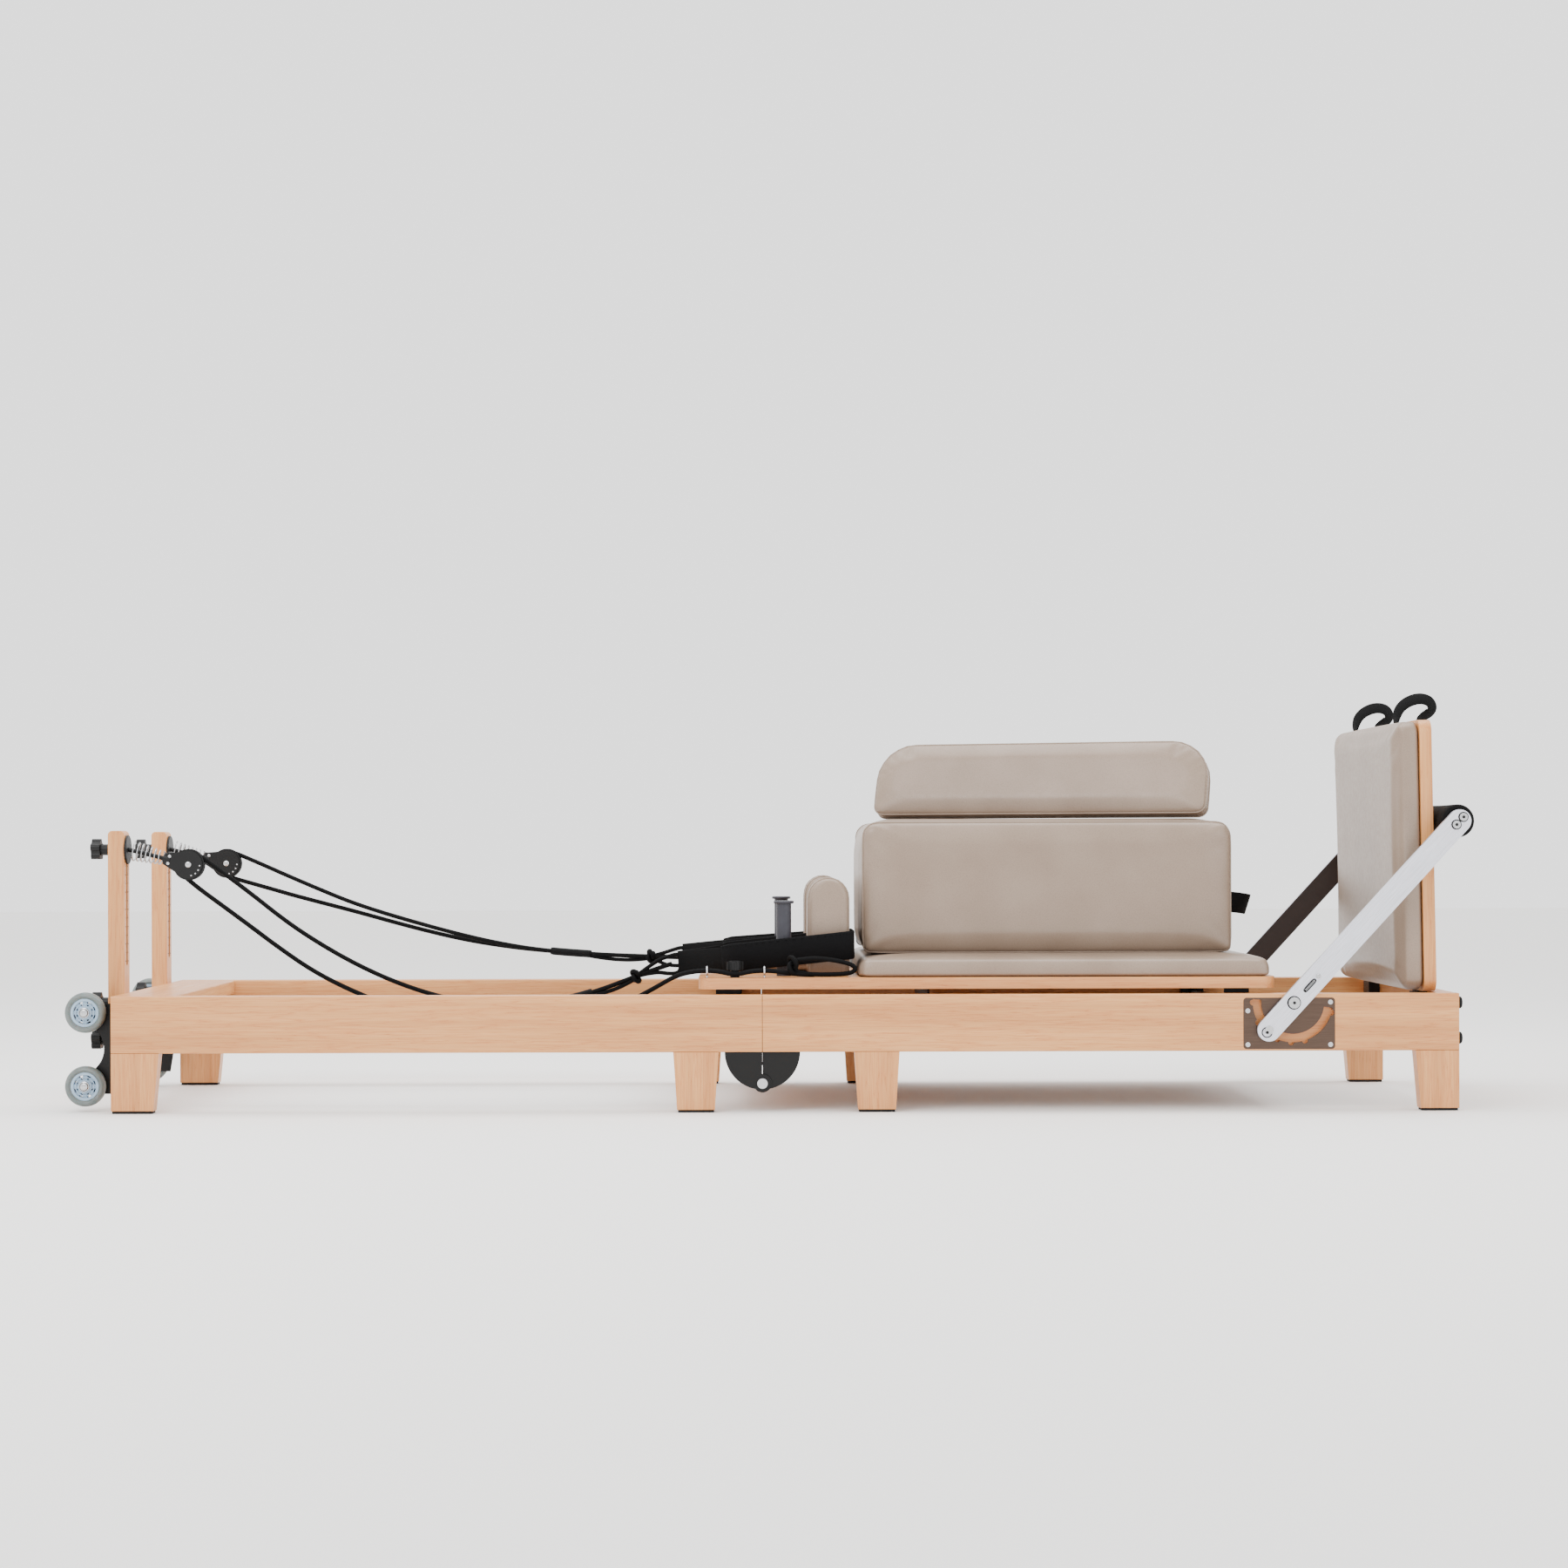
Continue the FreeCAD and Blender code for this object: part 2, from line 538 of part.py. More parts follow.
def frame_boards():
    near, far = foot_rail(), head_rail()
    keep("foot_rail_near", near)
    keep("foot_rail_far", mirrored(near))
    keep("head_rail_near", far)
    keep("head_rail_far", mirrored(far))
    end = block(FOOT_LENGTH - BOARD_THICK, FOOT_LENGTH, -INNER_HALF, INNER_HALF, RAIL_UNDERSIDE, RAIL_TOP)
    keep("foot_end_board", eased(end, Y))
    end = block(-HEAD_LENGTH, -HEAD_LENGTH + BOARD_THICK, -INNER_HALF, INNER_HALF,
                RAIL_UNDERSIDE, PLATFORM_UNDERSIDE)
    shelf = block(-HEAD_LENGTH, -HEAD_LENGTH + PLATFORM_LENGTH, -INNER_HALF, INNER_HALF,
                  PLATFORM_UNDERSIDE, RAIL_TOP)
    shelf = eased(shelf, Y, test=lambda p: p.x > -HEAD_LENGTH + 1 and p.z > RAIL_TOP - 1)
    low, high = RISER_KNOB_HEIGHTS
    for side in (-1, 1):
        end = end.cut(riser_bolt(low, side))
        shelf = shelf.cut(riser_bolt(high, side))
    keep("head_end_board", end)
    keep("head_platform", shelf)
    keep("foot_joint_board", joint_board(1))
    keep("head_joint_board", joint_board(-1))


# ---- legs ----

def leg(top, foot):
    """A tapered board leg between its top corners and its foot corners, given as (low x, high x)."""
    outline = [(top[0], RAIL_UNDERSIDE), (top[1], RAIL_UNDERSIDE),
               (foot[1], LEG_PAD_THICK), (foot[0], LEG_PAD_THICK)]
    return eased(polygon_xz(outline, -HALF_WIDTH, -INNER_HALF), X, 1.5,
                 test=lambda p: p.z < LEG_PAD_THICK + 1)


def leg_pad(foot):
    inset = 1.5
    pad = block(foot[0] + inset, foot[1] - inset, -HALF_WIDTH + inset, -INNER_HALF - inset, 0, LEG_PAD_THICK)
    return eased(pad, Z, 3.0)


def legs():
    head_outer = -HEAD_LENGTH
    mid = -HEAD_MID_LEG_NEAR
    head = [((head_outer, head_outer + HEAD_END_LEG_TOP), (head_outer, head_outer + HEAD_END_LEG_FOOT)),
            ((mid - HEAD_MID_LEG_TOP, mid), (mid - HEAD_MID_LEG_TOP + MID_LEG_TAPER, mid - MID_LEG_TAPER))]
    mid = FOOT_MID_LEG_NEAR
    foot = [((FOOT_LENGTH - FOOT_END_LEG_TOP, FOOT_LENGTH), (FOOT_LENGTH - FOOT_END_LEG_FOOT, FOOT_LENGTH)),
            ((mid, mid + FOOT_MID_LEG_TOP), (mid + MID_LEG_TAPER, mid + FOOT_MID_LEG_TOP - MID_LEG_TAPER))]
    for half, corners in (("head", head), ("foot", foot)):
        for top, low in corners:
            both_sides(half + "_legs", lambda: leg(top, low))
            both_sides(half + "_leg_pads", lambda: leg_pad(low))


# ---- fold hinges ----

def hinge_plate(side, layer):
    """A quarter disc under a rail with an ear round the hinge bolt, and a flange screwed to the rail."""
    y0 = -HALF_WIDTH + HINGE_PLATE_INSET + layer * (HINGE_PLATE_THICK + HINGE_LAYER_GAP)
    y1 = y0 + HINGE_PLATE_THICK
    disc = across(HINGE_PLATE_RADIUS, 0, y0, y1, RAIL_UNDERSIDE)
    reach = 2 * HINGE_PLATE_RADIUS
    near_x = side * FOLD_GAP / 2
    keep_box = block(min(near_x, side * reach), max(near_x, side * reach), y0, y1,
                     RAIL_UNDERSIDE - reach, RAIL_UNDERSIDE)
    plate = disc.common(keep_box).fuse(across(HINGE_EAR_RADIUS, 0, y0, y1, HINGE_Z))
    flange_x = side * 2.0
    far_x = side * HINGE_PLATE_RADIUS
    flange = block(min(flange_x, far_x), max(flange_x, far_x), y1, y1 + HINGE_FLANGE_WIDTH,
                   RAIL_UNDERSIDE - HINGE_FLANGE_THICK, RAIL_UNDERSIDE)
    plate = plate.fuse(flange)
    return plate.cut(across(BOLT_RADIUS + RUNNING_CLEARANCE, 0, y0 - 1, y1 + 1, HINGE_Z)).removeSplitter()


def hinge_bolt():
    outer = -HALF_WIDTH + HINGE_PLATE_INSET
    inner = outer + 2 * HINGE_PLATE_THICK + HINGE_LAYER_GAP
    gap = 0.2
    nut = 6.0
    bolt = across(BOLT_RADIUS, 0, outer - gap - BOLT_HEAD_HEIGHT, inner + gap + nut, HINGE_Z)
    head = across(BOLT_HEAD_RADIUS, 0, outer - gap - BOLT_HEAD_HEIGHT, outer - gap, HINGE_Z)
    end = across(BOLT_HEAD_RADIUS, 0, inner + gap, inner + gap + nut, HINGE_Z)
    return bolt.fuse(head).fuse(end).removeSplitter()


def fold_hinges():
    both_sides("head_hinge_plates", lambda: hinge_plate(-1, 0))
    both_sides("foot_hinge_plates", lambda: hinge_plate(1, 1))
    both_sides("frame_bolts", hinge_bolt)
    both_sides("frame_bolts", gear_screws)
    both_sides("gear_plates", gear_plate)


# ---- skate wheels ----

def skate_wheel(y, z):
    """A soft tyre on a spoked hub."""
    half = WHEEL_WIDTH / 2
    hub_radius = WHEEL_RADIUS - WHEEL_TYRE_DEPTH
    tyre = across(WHEEL_RADIUS, WHEEL_X, y - half, y + half, z)
    tyre = tyre.makeFillet(WHEEL_ROUND, [e for e in tyre.Edges if isinstance(e.Curve, Part.Circle)])
    tyre = tyre.cut(across(hub_radius, WHEEL_X, y - half - 1, y + half + 1, z))
    hub_half = half - WHEEL_HUB_INSET
    hub = across(hub_radius, WHEEL_X, y - hub_half, y + hub_half, z)
    hub = hub.cut(across(WHEEL_BOLT_RADIUS + RUNNING_CLEARANCE, WHEEL_X, y - half, y + half, z))
    ring = (hub_radius + WHEEL_HUB_BOSS) / 2
    for turn in range(WHEEL_WINDOWS):
        angle = 2 * math.pi * turn / WHEEL_WINDOWS + math.pi / 2
        hub = hub.cut(across(WHEEL_WINDOW_RADIUS, WHEEL_X + ring * math.cos(angle), y - half, y + half,
                             z + ring * math.sin(angle)))
    return [tyre, hub]


def wheel_bracket():
    """The cheek beside one pair of wheels, arched between them, with its flange on the end board."""
    outer = -WHEEL_Y + WHEEL_WIDTH / 2 + BRACKET_GAP
    inner = outer + BRACKET_THICK
    low, high = WHEEL_HEIGHTS
    boss = BRACKET_BOSS
    face = -HEAD_LENGTH
    outline = [(WHEEL_X, low - boss), (face - BRACKET_LOWER_REACH, low - boss), (face, RAIL_UNDERSIDE),
               (face, high + boss), (WHEEL_X, high + boss)]
    cheek = polygon_xz(outline, outer, inner)
    for z in WHEEL_HEIGHTS:
        cheek = cheek.fuse(across(boss, WHEEL_X, outer, inner, z))
    arch_x = WHEEL_X - BRACKET_ARCH_OUT
    cheek = cheek.cut(across(BRACKET_ARCH_RADIUS, arch_x, outer - 1, inner + 1, (low + high) / 2))
    flange = block(face - BRACKET_THICK, face, inner, inner + BRACKET_FLANGE_WIDTH,
                   RAIL_UNDERSIDE + BRACKET_FLANGE_GAP, PLATFORM_UNDERSIDE - BRACKET_FLANGE_GAP)
    return cheek.fuse(flange).removeSplitter()


def wheel_bolt(z):
    """The axle bolt of one wheel: shank through the wheel, head on the outside, thread in the cheek."""
    outer = -WHEEL_Y - WHEEL_WIDTH / 2
    cheek = -WHEEL_Y + WHEEL_WIDTH / 2 + BRACKET_GAP
    play = WHEEL_PLAY
    shank = across(WHEEL_BOLT_RADIUS, WHEEL_X, outer - play, cheek, z)
    head = across(WHEEL_BOLT_HEAD_RADIUS, WHEEL_X, outer - play - WHEEL_BOLT_HEAD, outer - play, z)
    collar = across(WHEEL_BOLT_HEAD_RADIUS, WHEEL_X, cheek - BRACKET_GAP + play, cheek, z)
    return shank.fuse(head).fuse(collar).removeSplitter()


def skate_wheels():
    for side, y in (("near", -WHEEL_Y), ("far", WHEEL_Y)):
        for place, z in zip(("low", "high"), WHEEL_HEIGHTS):
            keep("skate_wheel_" + side + "_" + place, *skate_wheel(y, z))
    both_sides("wheel_brackets", wheel_bracket)
    both_sides("wheel_brackets", lambda: [wheel_bolt(z) for z in WHEEL_HEIGHTS])


# ---- risers, star knobs and pulleys ----

def riser_bolt(height, side):
    """A clamping bolt from the star knob through the riser into the frame."""
    y = side * RISER_OFFSET
    start = V(-HEAD_LENGTH - RISER_THICK - 10, y, height)
    return rod(KNOB_BOLT_RADIUS, start, V(-HEAD_LENGTH + RISER_BOLT_DEPTH, y, height))


def star_knob(back_x, y, z):
    """A lobed knob whose stem ends at back_x and whose head lies on its head-end side."""
    front = back_x - KNOB_STEM
    core = rod(KNOB_RADIUS * 0.78, V(front, y, z), V(front - KNOB_THICK, y, z))
    lobe_radius = KNOB_RADIUS * 0.36
    reach = KNOB_RADIUS - lobe_radius
    for turn in range(KNOB_LOBES):
        angle = 2 * math.pi * turn / KNOB_LOBES + math.pi / 2
        middle = V(front, y + reach * math.cos(angle), z + reach * math.sin(angle))
        core = core.fuse(rod(lobe_radius, middle, middle - X * KNOB_THICK))
    return core.fuse(rod(KNOB_STEM_RADIUS, V(back_x, y, z), V(front, y, z))).removeSplitter()


def riser():
    low_x = -HEAD_LENGTH - RISER_THICK
    half = RISER_WIDTH / 2
    post = block(low_x, -HEAD_LENGTH, -RISER_OFFSET - half, -RISER_OFFSET + half, RAIL_UNDERSIDE, RISER_TOP)
    post = eased(post, Y, RISER_TOP_ROUND, test=lambda p: p.z > RISER_TOP - 1)
    post = eased(post, Z, 2.0)
    x0, x1, y, slot_half = low_x - 1, -HEAD_LENGTH + 1, -RISER_OFFSET, RISER_SLOT_WIDTH / 2
    slot = block(x0, x1, y - slot_half, y + slot_half, RISER_SLOT_LOW, RISER_SLOT_HIGH)
    for z in (RISER_SLOT_LOW, RISER_SLOT_HIGH):
        slot = slot.fuse(rod(slot_half, V(x0, y, z), V(x1, y, z)))
    post = post.cut(slot)
    for height in RISER_KNOB_HEIGHTS:
        post = post.cut(riser_bolt(height, -1))
    return post


def pulley_axis():
    """From the riser's face to the sheave axle, in the near pulley's plane."""
    start = V(-HEAD_LENGTH + DISC_THICK, -RISER_OFFSET, PULLEY_HEIGHT)
    end = V(SHEAVE_X, -RISER_OFFSET, SHEAVE_Z)
    return start, end, (end - start).normalize()


def pulley_mount():
    """Star knob and eye bolt through the riser's slot, and the disc on the riser's face."""
    back = -HEAD_LENGTH - RISER_THICK
    start, end, along = pulley_axis()
    knob = star_knob(back, -RISER_OFFSET, PULLEY_HEIGHT)
    tip = end - along * BLOCK_HEAD_BACK
    bolt = rod(KNOB_BOLT_RADIUS, V(back, -RISER_OFFSET, PULLEY_HEIGHT), start)
    stem = rod(KNOB_BOLT_RADIUS, start, tip)
    joint = Part.makeSphere(KNOB_BOLT_RADIUS, start)
    knob = knob.fuse(bolt).fuse(stem).fuse(joint).removeSplitter()
    disc = rod(DISC_RADIUS, start - X * DISC_THICK, start)
    disc = disc.makeFillet(DISC_ROUND, [e for e in disc.Edges if isinstance(e.Curve, Part.Circle)])
    return [knob, disc.cut(bolt)]


def stand_up_spring():
    """The coil that keeps the pulley from drooping, as its outer shape."""
    start, end, along = pulley_axis()
    foot = start + along * STAND_SPRING_LEAN
    height = (end - start).Length - BLOCK_HEAD_BACK - STAND_SPRING_LEAN
    outer = Part.makeCone(STAND_SPRING_BASE, STAND_SPRING_TIP, height, foot, along)
    inner = Part.makeCone(STAND_SPRING_BASE - STAND_SPRING_WALL, STAND_SPRING_TIP - STAND_SPRING_WALL,
                          height, foot, along)
    return outer.cut(inner)


def pulley_block():
    """Two teardrop cheeks either side of the sheave, joined by the head, and the axle pin."""
    start, end, along = pulley_axis()
    neck = end - along * (BLOCK_HEAD_BACK - BLOCK_HEAD_LENGTH)
    gap = SHEAVE_WIDTH / 2 + CHEEK_GAP
    back = end - along * BLOCK_HEAD_BACK
    block_solid = rod(BLOCK_HEAD_RADIUS, back, neck)
    up = V(-along.z, 0, along.x)
    for side in (-1, 1):
        y0 = -RISER_OFFSET + (gap if side > 0 else -gap - CHEEK_THICK)
        y1 = y0 + CHEEK_THICK
        outline = []
        neck_back, shoulder = neck - along * BLOCK_NECK, end - along * (CHEEK_RADIUS / 3)
        reach = CHEEK_RADIUS * 0.9
        for point in (neck_back + up * BLOCK_NECK, shoulder + up * reach,
                      shoulder - up * reach, neck_back - up * BLOCK_NECK):
            outline.append((point.x, point.z))
        cheek = polygon_xz(outline, y0, y1).fuse(across(CHEEK_RADIUS, end.x, y0, y1, end.z))
        block_solid = block_solid.fuse(cheek)
    hole = across(SHEAVE_AXLE_RADIUS, end.x, -RISER_OFFSET - 20, -RISER_OFFSET + 20, end.z)
    pin_half = gap + CHEEK_THICK + CHEEK_PIN_PROUD
    pin = across(SHEAVE_AXLE_RADIUS, end.x, -RISER_OFFSET - pin_half, -RISER_OFFSET + pin_half, end.z)
    return [block_solid.cut(hole).removeSplitter(), pin]


def sheave():
    """A grooved wheel for the rope."""
    start, end, along = pulley_axis()
    half = SHEAVE_WIDTH / 2
    groove_half = ROPE_DIAMETER / 2 + SHEAVE_GROOVE_PLAY
    bottom = SHEAVE_RADIUS - ROPE_DIAMETER
    wheel = across(SHEAVE_RADIUS, end.x, -RISER_OFFSET - half, -RISER_OFFSET + half, end.z)
    ring = across(SHEAVE_RADIUS + 1, end.x, -RISER_OFFSET - groove_half, -RISER_OFFSET + groove_half, end.z)
    ring = ring.cut(across(bottom, end.x, -RISER_OFFSET - half, -RISER_OFFSET + half, end.z))
    bore = across(SHEAVE_AXLE_RADIUS + RUNNING_CLEARANCE, end.x, -RISER_OFFSET - half - 1,
                  -RISER_OFFSET + half + 1, end.z)
    return wheel.cut(ring).cut(bore)


def head_end_fittings():
    both_sides("risers", riser)
    back = -HEAD_LENGTH - RISER_THICK
    for height in RISER_KNOB_HEIGHTS:
        knob = star_knob(back, -RISER_OFFSET, height).fuse(riser_bolt(height, -1)).removeSplitter()
        keep("riser_knobs", knob, mirrored(knob))
    both_sides("pulley_mounts", pulley_mount)
    both_sides("stand_up_springs", stand_up_spring)
    both_sides("pulley_blocks", pulley_block)
    wheel = sheave()
    keep("sheave_near", wheel)
    keep("sheave_far", mirrored(wheel))


# ---- running tracks and bumpers ----

def track(x0, x1):
    ledge = block(x0, x1, -INNER_HALF, -INNER_HALF + TRACK_WIDTH, TRACK_TOP - TRACK_THICK, TRACK_TOP)
    skirt = block(x0, x1, -INNER_HALF, -INNER_HALF + TRACK_SKIRT_THICK, TRACK_TOP - TRACK_THICK - TRACK_SKIRT,
                  TRACK_TOP - TRACK_THICK)
    return ledge.fuse(skirt).removeSplitter()


def bumper(z):
    middle_y = -HALF_WIDTH + RAIL_THICK / 2
    start = V(FOOT_LENGTH, middle_y, z)
    button = rod(BUMPER_RADIUS, start, start + X * BUMPER_PROUD)
    rim = [e for e in button.Edges if e.CenterOfMass.x > FOOT_LENGTH + BUMPER_PROUD - 1]
    return button.makeFillet(BUMPER_ROUND, rim)


def tracks_and_bumpers():
    both_sides("head_tracks", lambda: track(-HEAD_LENGTH + PLATFORM_LENGTH + TRACK_HEAD_GAP, -FOLD_GAP / 2))
    both_sides("foot_tracks", lambda: track(FOLD_GAP / 2, FOOT_LENGTH - TRACK_FOOT_GAP))
    both_sides("end_bumpers", lambda: [bumper(z) for z in BUMPER_HEIGHTS])


# ---- carriage ----

def carriage_board():
    half = CARRIAGE_HALF
    board = block(CARRIAGE_START, CARRIAGE_END, -half, half, CARRIAGE_UNDERSIDE, CARRIAGE_TOP)
    return eased(board, Z, CARRIAGE_CORNER)


def carriage_pad():
    half = CARRIAGE_HALF - PAD_MARGIN
    pad = block(PAD_START, CARRIAGE_END, -half, half, CARRIAGE_TOP, PAD_TOP)
    pad = eased(pad, Z, PAD_CORNER)
    return pad.makeFillet(PAD_ROUND, [e for e in pad.Edges if e.CenterOfMass.z > PAD_TOP - 0.5])


def shoulder_rest():
    """An upholstered block with an arched top, standing on the carriage board."""
    radius = SHOULDER_LENGTH / 2
    outer = -SHOULDER_INNER - SHOULDER_WIDTH
    middle = SHOULDER_X + radius
    top = CARRIAGE_TOP + SHOULDER_HEIGHT - radius
    body = block(SHOULDER_X, SHOULDER_X + SHOULDER_LENGTH, outer, -SHOULDER_INNER, CARRIAGE_TOP, top)
    return body.fuse(across(radius, middle, outer, -SHOULDER_INNER, top)).removeSplitter()


def headrest():
    """The pad under the neck, with its hinge barrel along the edge towards the foot end."""
    half = HEADREST_WIDTH / 2
    low = CARRIAGE_TOP + HEADREST_GAP
    end = HEADREST_START + HEADREST_LENGTH
    pad = block(HEADREST_START, end, -half, half, low, low + HEADREST_THICK)
    pad = eased(pad, Z, HEADREST_CORNER)
    hinge = headrest_hinge()
    reach = half - HEADREST_BARREL_INSET
    barrel = across(HEADREST_HINGE_RADIUS, hinge.x, -reach, reach, hinge.z)
    leaf = block(end - HEADREST_BARREL_INSET, hinge.x, -reach, reach, low, low + HEADREST_LEAF_THICK)
    return pad.fuse(barrel).fuse(leaf).removeSplitter()


def headrest_hinge():
    radius = HEADREST_HINGE_RADIUS
    return V(HEADREST_START + HEADREST_LENGTH + radius + 1, 0, CARRIAGE_TOP + radius + HEADREST_HINGE_GAP)


def headrest_lugs():
    """Two lugs on the board that hold the ends of the headrest's barrel."""
    hinge = headrest_hinge()
    outer = -HEADREST_WIDTH / 2 + HEADREST_LUG_INSET
    inner = outer + HEADREST_LUG_WIDTH
    lug = block(hinge.x - HEADREST_LUG_HALF, hinge.x + HEADREST_LUG_HALF, outer, inner,
                CARRIAGE_TOP, hinge.z + HEADREST_LUG_HALF)
    pin = across(HEADREST_PIN_RADIUS, hinge.x, inner, inner + HEADREST_PIN_LENGTH, hinge.z)
    return lug.fuse(pin).removeSplitter()


def rope_peg():
    top = CARRIAGE_TOP + PEG_HEIGHT
    shaft = rod(PEG_RADIUS, V(PEG_X, -PEG_OFFSET, CARRIAGE_TOP), V(PEG_X, -PEG_OFFSET, top - PEG_CAP_THICK))
    cap = rod(PEG_CAP_RADIUS, V(PEG_X, -PEG_OFFSET, top - PEG_CAP_THICK), V(PEG_X, -PEG_OFFSET, top))
    cap = cap.makeFillet(PEG_CAP_ROUND, [e for e in cap.Edges if isinstance(e.Curve, Part.Circle)])
    return shaft.fuse(cap).removeSplitter()


def cleat_and_pins():
    """The ribbed knob that clamps the rope on the board, and the eye pins either side of it."""
    top = CARRIAGE_TOP + CLEAT_HEIGHT
    waist = V(CLEAT_X, -CLEAT_OFFSET, CARRIAGE_TOP + CLEAT_WAIST)
    knob = rod(CLEAT_RADIUS, waist, V(CLEAT_X, -CLEAT_OFFSET, top))
    knob = knob.fuse(rod(CLEAT_WAIST_RADIUS, V(CLEAT_X, -CLEAT_OFFSET, CARRIAGE_TOP), waist))
    pieces = [knob.removeSplitter()]
    for x in EYE_PIN_XS:
        ring_z = CARRIAGE_TOP + EYE_PIN_HEIGHT - EYE_PIN_RING - EYE_PIN_RADIUS
        stem = rod(EYE_PIN_RADIUS, V(x, -EYE_PIN_OFFSET, CARRIAGE_TOP),
                   V(x, -EYE_PIN_OFFSET, ring_z - EYE_PIN_RING))
        ring = Part.makeTorus(EYE_PIN_RING, EYE_PIN_RADIUS, V(x, -EYE_PIN_OFFSET, ring_z), X)
        pieces.append(stem.fuse(ring).removeSplitter())
    return pieces


def axle_xs():
    return CARRIAGE_START + AXLE_INSET_HEAD, CARRIAGE_END - AXLE_INSET_FOOT


def axle_set(x):
    """A shaft with a flanged roller on each end."""
    outer = HALF_WIDTH - ROLLER_INSET
    shaft = across(AXLE_RADIUS, x, -outer - AXLE_PROUD, outer + AXLE_PROUD, AXLE_Z)
    solids = [shaft]
    for side in (-1, 1):
        y0, y1 = sorted((side * outer, side * (outer - ROLLER_WIDTH)))
        tread = across(ROLLER_RADIUS, x, y0, y1, AXLE_Z)
        solids.append(tread.cut(shaft))
    return solids


def axle_bracket(x):
    """A hanging plate beside a roller, bored for the shaft."""
    outer = HALF_WIDTH - ROLLER_INSET - ROLLER_WIDTH - AXLE_BRACKET_GAP
    half = AXLE_BRACKET_HALF
    plate = block(x - half, x + half, -outer, -outer + AXLE_BRACKET_THICK,
                  AXLE_Z - AXLE_BRACKET_DROP, CARRIAGE_UNDERSIDE)
    flange = block(x - half, x + half, -outer, -outer + AXLE_BRACKET_FLANGE,
                   CARRIAGE_UNDERSIDE - SHEET_THICK, CARRIAGE_UNDERSIDE)
    bore = across(AXLE_RADIUS + RUNNING_CLEARANCE, x, -outer - 1, -outer + AXLE_BRACKET_THICK + 1, AXLE_Z)
    return plate.fuse(flange).cut(bore).removeSplitter()


def spring_ys():
    middle = (SPRING_COUNT - 1) / 2
    return [SPRING_PITCH * (n - middle) for n in range(SPRING_COUNT)]


def spring_anchor():
    """The angle under the board that the springs' moving ends hook on."""
    half = SPRING_PITCH * (SPRING_COUNT - 1) / 2 + SPRING_ANCHOR_END
    web = block(SPRING_ANCHOR_X - SPRING_ANCHOR_THICK, SPRING_ANCHOR_X, -half, half,
                SPRING_Z - SPRING_ANCHOR_DROP, CARRIAGE_UNDERSIDE)
    flange = block(SPRING_ANCHOR_X - SPRING_ANCHOR_FLANGE, SPRING_ANCHOR_X, -half, half,
                   CARRIAGE_UNDERSIDE - SPRING_ANCHOR_THICK, CARRIAGE_UNDERSIDE)
    return web.fuse(flange).removeSplitter()


def spring_bar():
    """The stepped steel bar between the rails that the springs' fixed ends hook on."""
    x0 = CARRIAGE_END + SPRING_BAR_GAP
    x1 = x0 + SPRING_BAR_THICK
    inner = INNER_HALF - TRACK_WIDTH - SPRING_BAR_TRACK_GAP
    low, step, top = (RAIL_UNDERSIDE + rise for rise in (SPRING_BAR_LOW, SPRING_BAR_STEP, SPRING_BAR_TOP))
    bar = block(x0, x1, -INNER_HALF, INNER_HALF, low, step)
    bar = bar.fuse(block(x0, x1, -inner, inner, step, top))
    for side in (-1, 1):
        y0, y1 = sorted((side * INNER_HALF, side * (INNER_HALF - SPRING_BAR_FLANGE_THICK)))
        bar = bar.fuse(block(x1, x1 + SPRING_BAR_FLANGE, y0, y1, low, step))
    return bar.removeSplitter()


def carriage():
    keep("carriage_board", carriage_board())
    keep("carriage_pad", carriage_pad())
    both_sides("shoulder_rests", shoulder_rest)
    keep("headrest", headrest())
    both_sides("carriage_brackets", headrest_lugs)
    both_sides("rope_pegs", rope_peg)
    both_sides("rope_cleats", cleat_and_pins)
    for name, x in zip(("head", "foot"), axle_xs()):
        keep("carriage_axle_" + name, *axle_set(x))
        both_sides("carriage_brackets", lambda: axle_bracket(x))
    keep("carriage_brackets", spring_anchor())
    keep("spring_bar", spring_bar())
    for y in spring_ys():
        start, end = V(SPRING_ANCHOR_X, y, SPRING_Z), V(CARRIAGE_END + SPRING_BAR_GAP, y, SPRING_Z)
        hollow = rod(SPRING_RADIUS - SPRING_WALL, start, end)
        keep("carriage_springs", rod(SPRING_RADIUS, start, end).cut(hollow))


# ---- footbar ----

def footbar_arm():
    outer = -ARM_INNER_Y - ARM_THICK
    arm = stadium_xz(LOCK_PIN_CENTRE, GRIP_CENTRE, ARM_WIDTH / 2, outer, -ARM_INNER_Y)
    play = ARM_SLOT_PLAY
    slot = stadium_xz(PIVOT - ARM_DIRECTION * play, PIVOT + ARM_DIRECTION * (LATCH_TRAVEL + play),
                      BOLT_RADIUS + 2 * RUNNING_CLEARANCE, outer - 1, -ARM_INNER_Y + 1)
    arm = arm.cut(slot)
    for spot in arm_bolt_spots():
        arm = arm.cut(across(ARM_BOLT_SHANK, spot.x, outer - 1, -ARM_INNER_Y + 1, spot.z))
    return arm.cut(across(LOCK_PIN_RADIUS, LOCK_PIN_CENTRE.x, outer - 1, -ARM_INNER_Y + 1, LOCK_PIN_CENTRE.z))


def arm_bolt_spots():
    half = ARM_DIRECTION * (ARM_BOLT_SPACING / 2)
    return [GRIP_CENTRE - half, GRIP_CENTRE + half]


